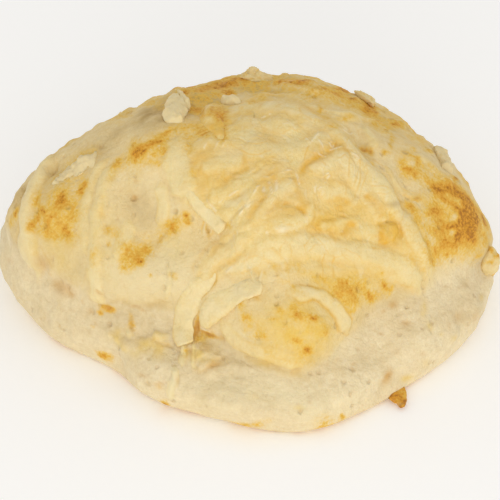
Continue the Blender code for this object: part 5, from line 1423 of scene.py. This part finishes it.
def make_strand(skin, name, path, widths, thickness, crispness, colour, seed, material):
    """A flat strand carried along its path: each section is a low dome over a rounded underside, with
    both edges and the thickness varied by noise, strings along it, and rounded ends."""
    ragged, rough, cheese, pale, tan, gold, tilt = SHRED_LOOKS[colour]
    route = dense_path(path, STRAND_STEP)
    flat, lift = route[:, :2], route[:, 2]
    points, up = (eased(values, STRAND_EASING) for values in filled(skin, flat[:, 0], flat[:, 1]))
    share = np.linspace(0, 1, len(route))
    length = np.linalg.norm(np.diff(points, axis=0), axis=1).sum()
    ahead = np.gradient(points, axis=0)
    side = np.cross(up, ahead)
    side /= np.linalg.norm(side, axis=1, keepdims=True)
    up = np.cross(ahead, side)
    up /= np.linalg.norm(up, axis=1, keepdims=True)
    from_end = np.minimum(share, 1 - share) * length
    blunt = np.sqrt(np.clip(1 - (1 - np.clip(from_end / (0.9 * thickness), 0.02, 1)) ** 2, 0, 1))
    turn = (np.arange(STRAND_SIDES) + 0.5) / STRAND_SIDES * 2 * np.pi
    across, above = np.cos(turn), np.sin(turn) > 0
    half_width = (spread_along(widths, share) / 2 * blunt)[:, None] * np.ones(STRAND_SIDES)
    edge_noise = np.where(across > 0, noise(points + 11.0 * seed, 1.6, 70 + seed)[:, None],
                          noise(points + 17.0 * seed, 1.6, 80 + seed)[:, None])
    half_width *= 1 + ragged * edge_noise * np.abs(across)
    dome = cross_profile(across, crispness)
    swell = 1 + 0.2 * noise(points, 1.8, 90 + seed)
    top = thickness * (blunt * swell)[:, None] * dome
    bottom = -SINK * blunt[:, None] * np.sqrt(1 - across ** 4)
    raised = lift[:, None] + tilt * half_width * across + np.where(above, top, bottom)
    rings = (points[:, None] + side[:, None] * (half_width * across)[..., None]
             + up[:, None] * raised[..., None])
    for size, strength in STRAND_ROUGHNESS:
        rise = strength * rough * noise(rings, size, 110 + seed) * above
        lean = 0.5 * strength * rough * noise(rings, size, 120 + seed) * above
        rings = rings + up[:, None] * rise[..., None] + side[:, None] * lean[..., None]
    strings = np.stack([half_width * across, 0.2 * length * share[:, None] + 0 * half_width,
                        7.0 * seed + 0 * half_width], axis=-1)
    rings = rings + up[:, None] * (STRINGINESS * noise(strings, STRING_SIZE, 143) * above)[..., None]
    rings = rings[:, ::-1]
    across = np.broadcast_to(across[::-1], rings.shape[:2])
    a = np.repeat(flat[:, :1], STRAND_SIDES, 1) + 1e-6
    b = np.repeat(flat[:, 1:], STRAND_SIDES, 1)
    toast = 0.5 * spotted(a, b, skin.read(skin.squeeze, a, b), TOAST, 1.0)
    edge = smooth_step(np.abs(across), 0.75, 1.0)
    if colour == "browned":
        middle, spread, brownest = CRISPED
        shown = smooth_step(across + 0.4 * noise(rings, 1.5, 140), -0.6, 0.1)
        toast = np.maximum(toast, brownest * shown * np.exp(-((share - middle) / spread) ** 2)[:, None])
        edge = 1.0
    tints = {"crust": 0.5, "cheese": cheese, "toast": toast, "tan": tan,
             "gold": gold * edge * smooth_step(noise(rings, 2.5, 141), -0.6, 0.5),
             "pale": pale * (0.8 + 0.4 * noise(rings, 1.8, 142))}
    make_piece(name, rings, tints, material)


def make_crumb(skin, name, a, b, lift, down, across, up, lumpiness, brownness, seed, material):
    """A crumb: a sphere with three half-sizes whose radius is varied by noise, set on the skin."""
    point, normal = skin.at(np.array([a], float), np.array([b], float))
    point, normal = point[0], normal[0]
    slope = np.array([a, b, 0.0]) - normal * (np.array([a, b, 0.0]) @ normal)
    slope /= np.linalg.norm(slope)
    axes = np.array([slope * down, np.cross(normal, slope) * across, normal * up])
    polar = np.linspace(0, np.pi, CRUMB_ROWS + 2)[1:-1, None]
    turn = np.arange(CRUMB_COLUMNS) / CRUMB_COLUMNS * 2 * np.pi
    ball = np.stack([np.sin(polar) * np.cos(turn), np.sin(polar) * np.sin(turn),
                     np.cos(polar) + 0 * turn], axis=-1)
    radius = 1 + lumpiness * sum(rise * noise(ball * 3 + 5 * seed, size, 130 + seed)
                                 for size, rise in CRUMB_LUMPS)
    rings = point + normal * lift + (ball * radius[..., None]) @ axes
    heat = smooth_step(noise(ball * 3, 1.3, 150 + seed), -0.2, 0.7)
    tints = {"crust": 0.5, "cheese": 0.4, "toast": heat * brownness, "pale": 0.4, "tan": 0.5, "yellow": 0.2}
    make_piece(name, rings, tints, material)


def make_foot_crisp(material):
    """Burnt cheese at the foot: rings along a run that leans aside, thinning to a point."""
    direction, root, tip, width, height, skew = FOOT_CRISP
    out = np.array([np.cos(np.radians(direction)), np.sin(np.radians(direction)), 0])
    aside = np.array([-out[1], out[0], 0])
    along = np.linspace(0, 1, FOOT_CRISP_ROWS)[:, None]
    turn = np.arange(FOOT_CRISP_COLUMNS) / FOOT_CRISP_COLUMNS * 2 * np.pi
    blunt = np.sqrt(np.clip(1 - np.abs(2 * along - 1) ** 8, 0.01, 1))
    shrink = (1 - 0.75 * along ** 1.6) * blunt
    across = np.sign(np.cos(turn)) * np.abs(np.cos(turn)) ** 0.7 * shrink
    upward = np.sin(turn) * shrink
    place = (out * (root + along * (tip - root))[..., None]
             + aside * (across * width / 2 - skew * along ** 2)[..., None])
    lift = (upward + 0.97) * height / 2 * (1 - 0.25 * along) + 0.05
    place = place + np.array([0, 0, 1]) * lift[..., None]
    place[..., :2] -= CENTRE
    place = place + (0.3 * noise(place, 1.3, 160) + 0.14 * noise(place, 0.6, 161))[..., None] * (1, 1, 0.6)
    place[..., 2] = np.maximum(place[..., 2], 0.02)
    rings = place[:, ::-1]
    # pit here: dark spots by noise on the burnt cheese
    tints = {"crust": 1.0, "cheese": 1.0, "toast": np.clip(0.78 + 0.4 * noise(rings, 1.4, 162), 0.3, 1),
             "pit": smooth_step(noise(rings, 1.1, 163), 0.35, 0.7)}
    make_piece("foot_crisp", rings, tints, material)


# --- stage -----------------------------------------------------------------------------------------

def make_camera():
    """The camera, looking at its target from the front and above."""
    rise = np.radians(CAMERA_ELEVATION)
    back = Vector((0.0, -np.cos(rise), np.sin(rise)))
    data = bpy.data.cameras.new("camera")
    data.lens = CAMERA_LENS
    data.sensor_width = CAMERA_SENSOR
    data.clip_start, data.clip_end = 0.01, 10.0
    camera = bpy.data.objects.new("camera", data)
    camera.location = (Vector(CAMERA_TARGET) + back * CAMERA_DISTANCE) * MM
    camera.rotation_mode = "QUATERNION"
    camera.rotation_quaternion = (-back).to_track_quat("-Z", "Y")
    bpy.context.scene.collection.objects.link(camera)
    bpy.context.scene.camera = camera


def make_lights():
    """Large soft lights that face the scone, and an even pale sky."""
    for name, (azimuth, elevation, distance, size, watts, colour) in LIGHTS.items():
        turn, rise = np.radians(azimuth), np.radians(elevation)
        back = Vector((np.sin(turn) * np.cos(rise), -np.cos(turn) * np.cos(rise), np.sin(rise)))
        data = bpy.data.lights.new(name, "AREA")
        data.shape = "DISK"
        data.size = size * MM
        data.energy = watts
        data.color = colour
        light = bpy.data.objects.new(name, data)
        light.location = back * distance * MM
        light.rotation_mode = "QUATERNION"
        light.rotation_quaternion = (-back).to_track_quat("-Z", "Y")
        bpy.context.scene.collection.objects.link(light)
    world = bpy.data.worlds.new("even sky")
    world.use_nodes = True
    sky = world.node_tree.nodes["Background"]
    sky.inputs["Color"].default_value = WORLD_COLOUR
    sky.inputs["Strength"].default_value = WORLD_STRENGTH
    bpy.context.scene.world = world


def make_floor():
    """A plain pale floor."""
    half = FLOOR_HALF * MM
    mesh = bpy.data.meshes.new("floor")
    corners = [(-half, -half, 0), (half, -half, 0), (half, half, 0), (-half, half, 0)]
    mesh.from_pydata(corners, [], [(0, 1, 2, 3)])
    material, n, shader = new_material("pale floor")
    place = n.add("TexCoord").outputs["Object"]
    shade = n.mix(n.noise(place, 6.0), FLOOR_COLOUR, tuple(0.99 * c for c in FLOOR_COLOUR[:3]) + (1.0,))
    n.finish(shader, {"Base Color": shade, "Roughness": 0.9, "Emission Color": FLOOR_COLOUR,
                      "Emission Strength": FLOOR_GLOW, "Specular IOR Level": 0.1})
    mesh.materials.append(material)
    floor = bpy.data.objects.new("floor", mesh)
    bpy.context.scene.collection.objects.link(floor)


def main():
    make_camera()
    make_lights()
    make_floor()
    view = bpy.context.scene.view_settings
    view.view_transform = "Standard"
    view.look = "None"
    groups = {"toasting": toasting_group(), "mottling": mottling_group(), "baked grain": crumb_group()}
    material = scone_material(groups)
    skin = Skin()
    make_dough(skin, material)
    make_sheet(skin, material)
    for name, shred in SHREDS.items():
        make_strand(skin, name, *shred, material)
    for name, crumb in CRUMBS.items():
        make_crumb(skin, name, *crumb, material)
    make_foot_crisp(material)


main()
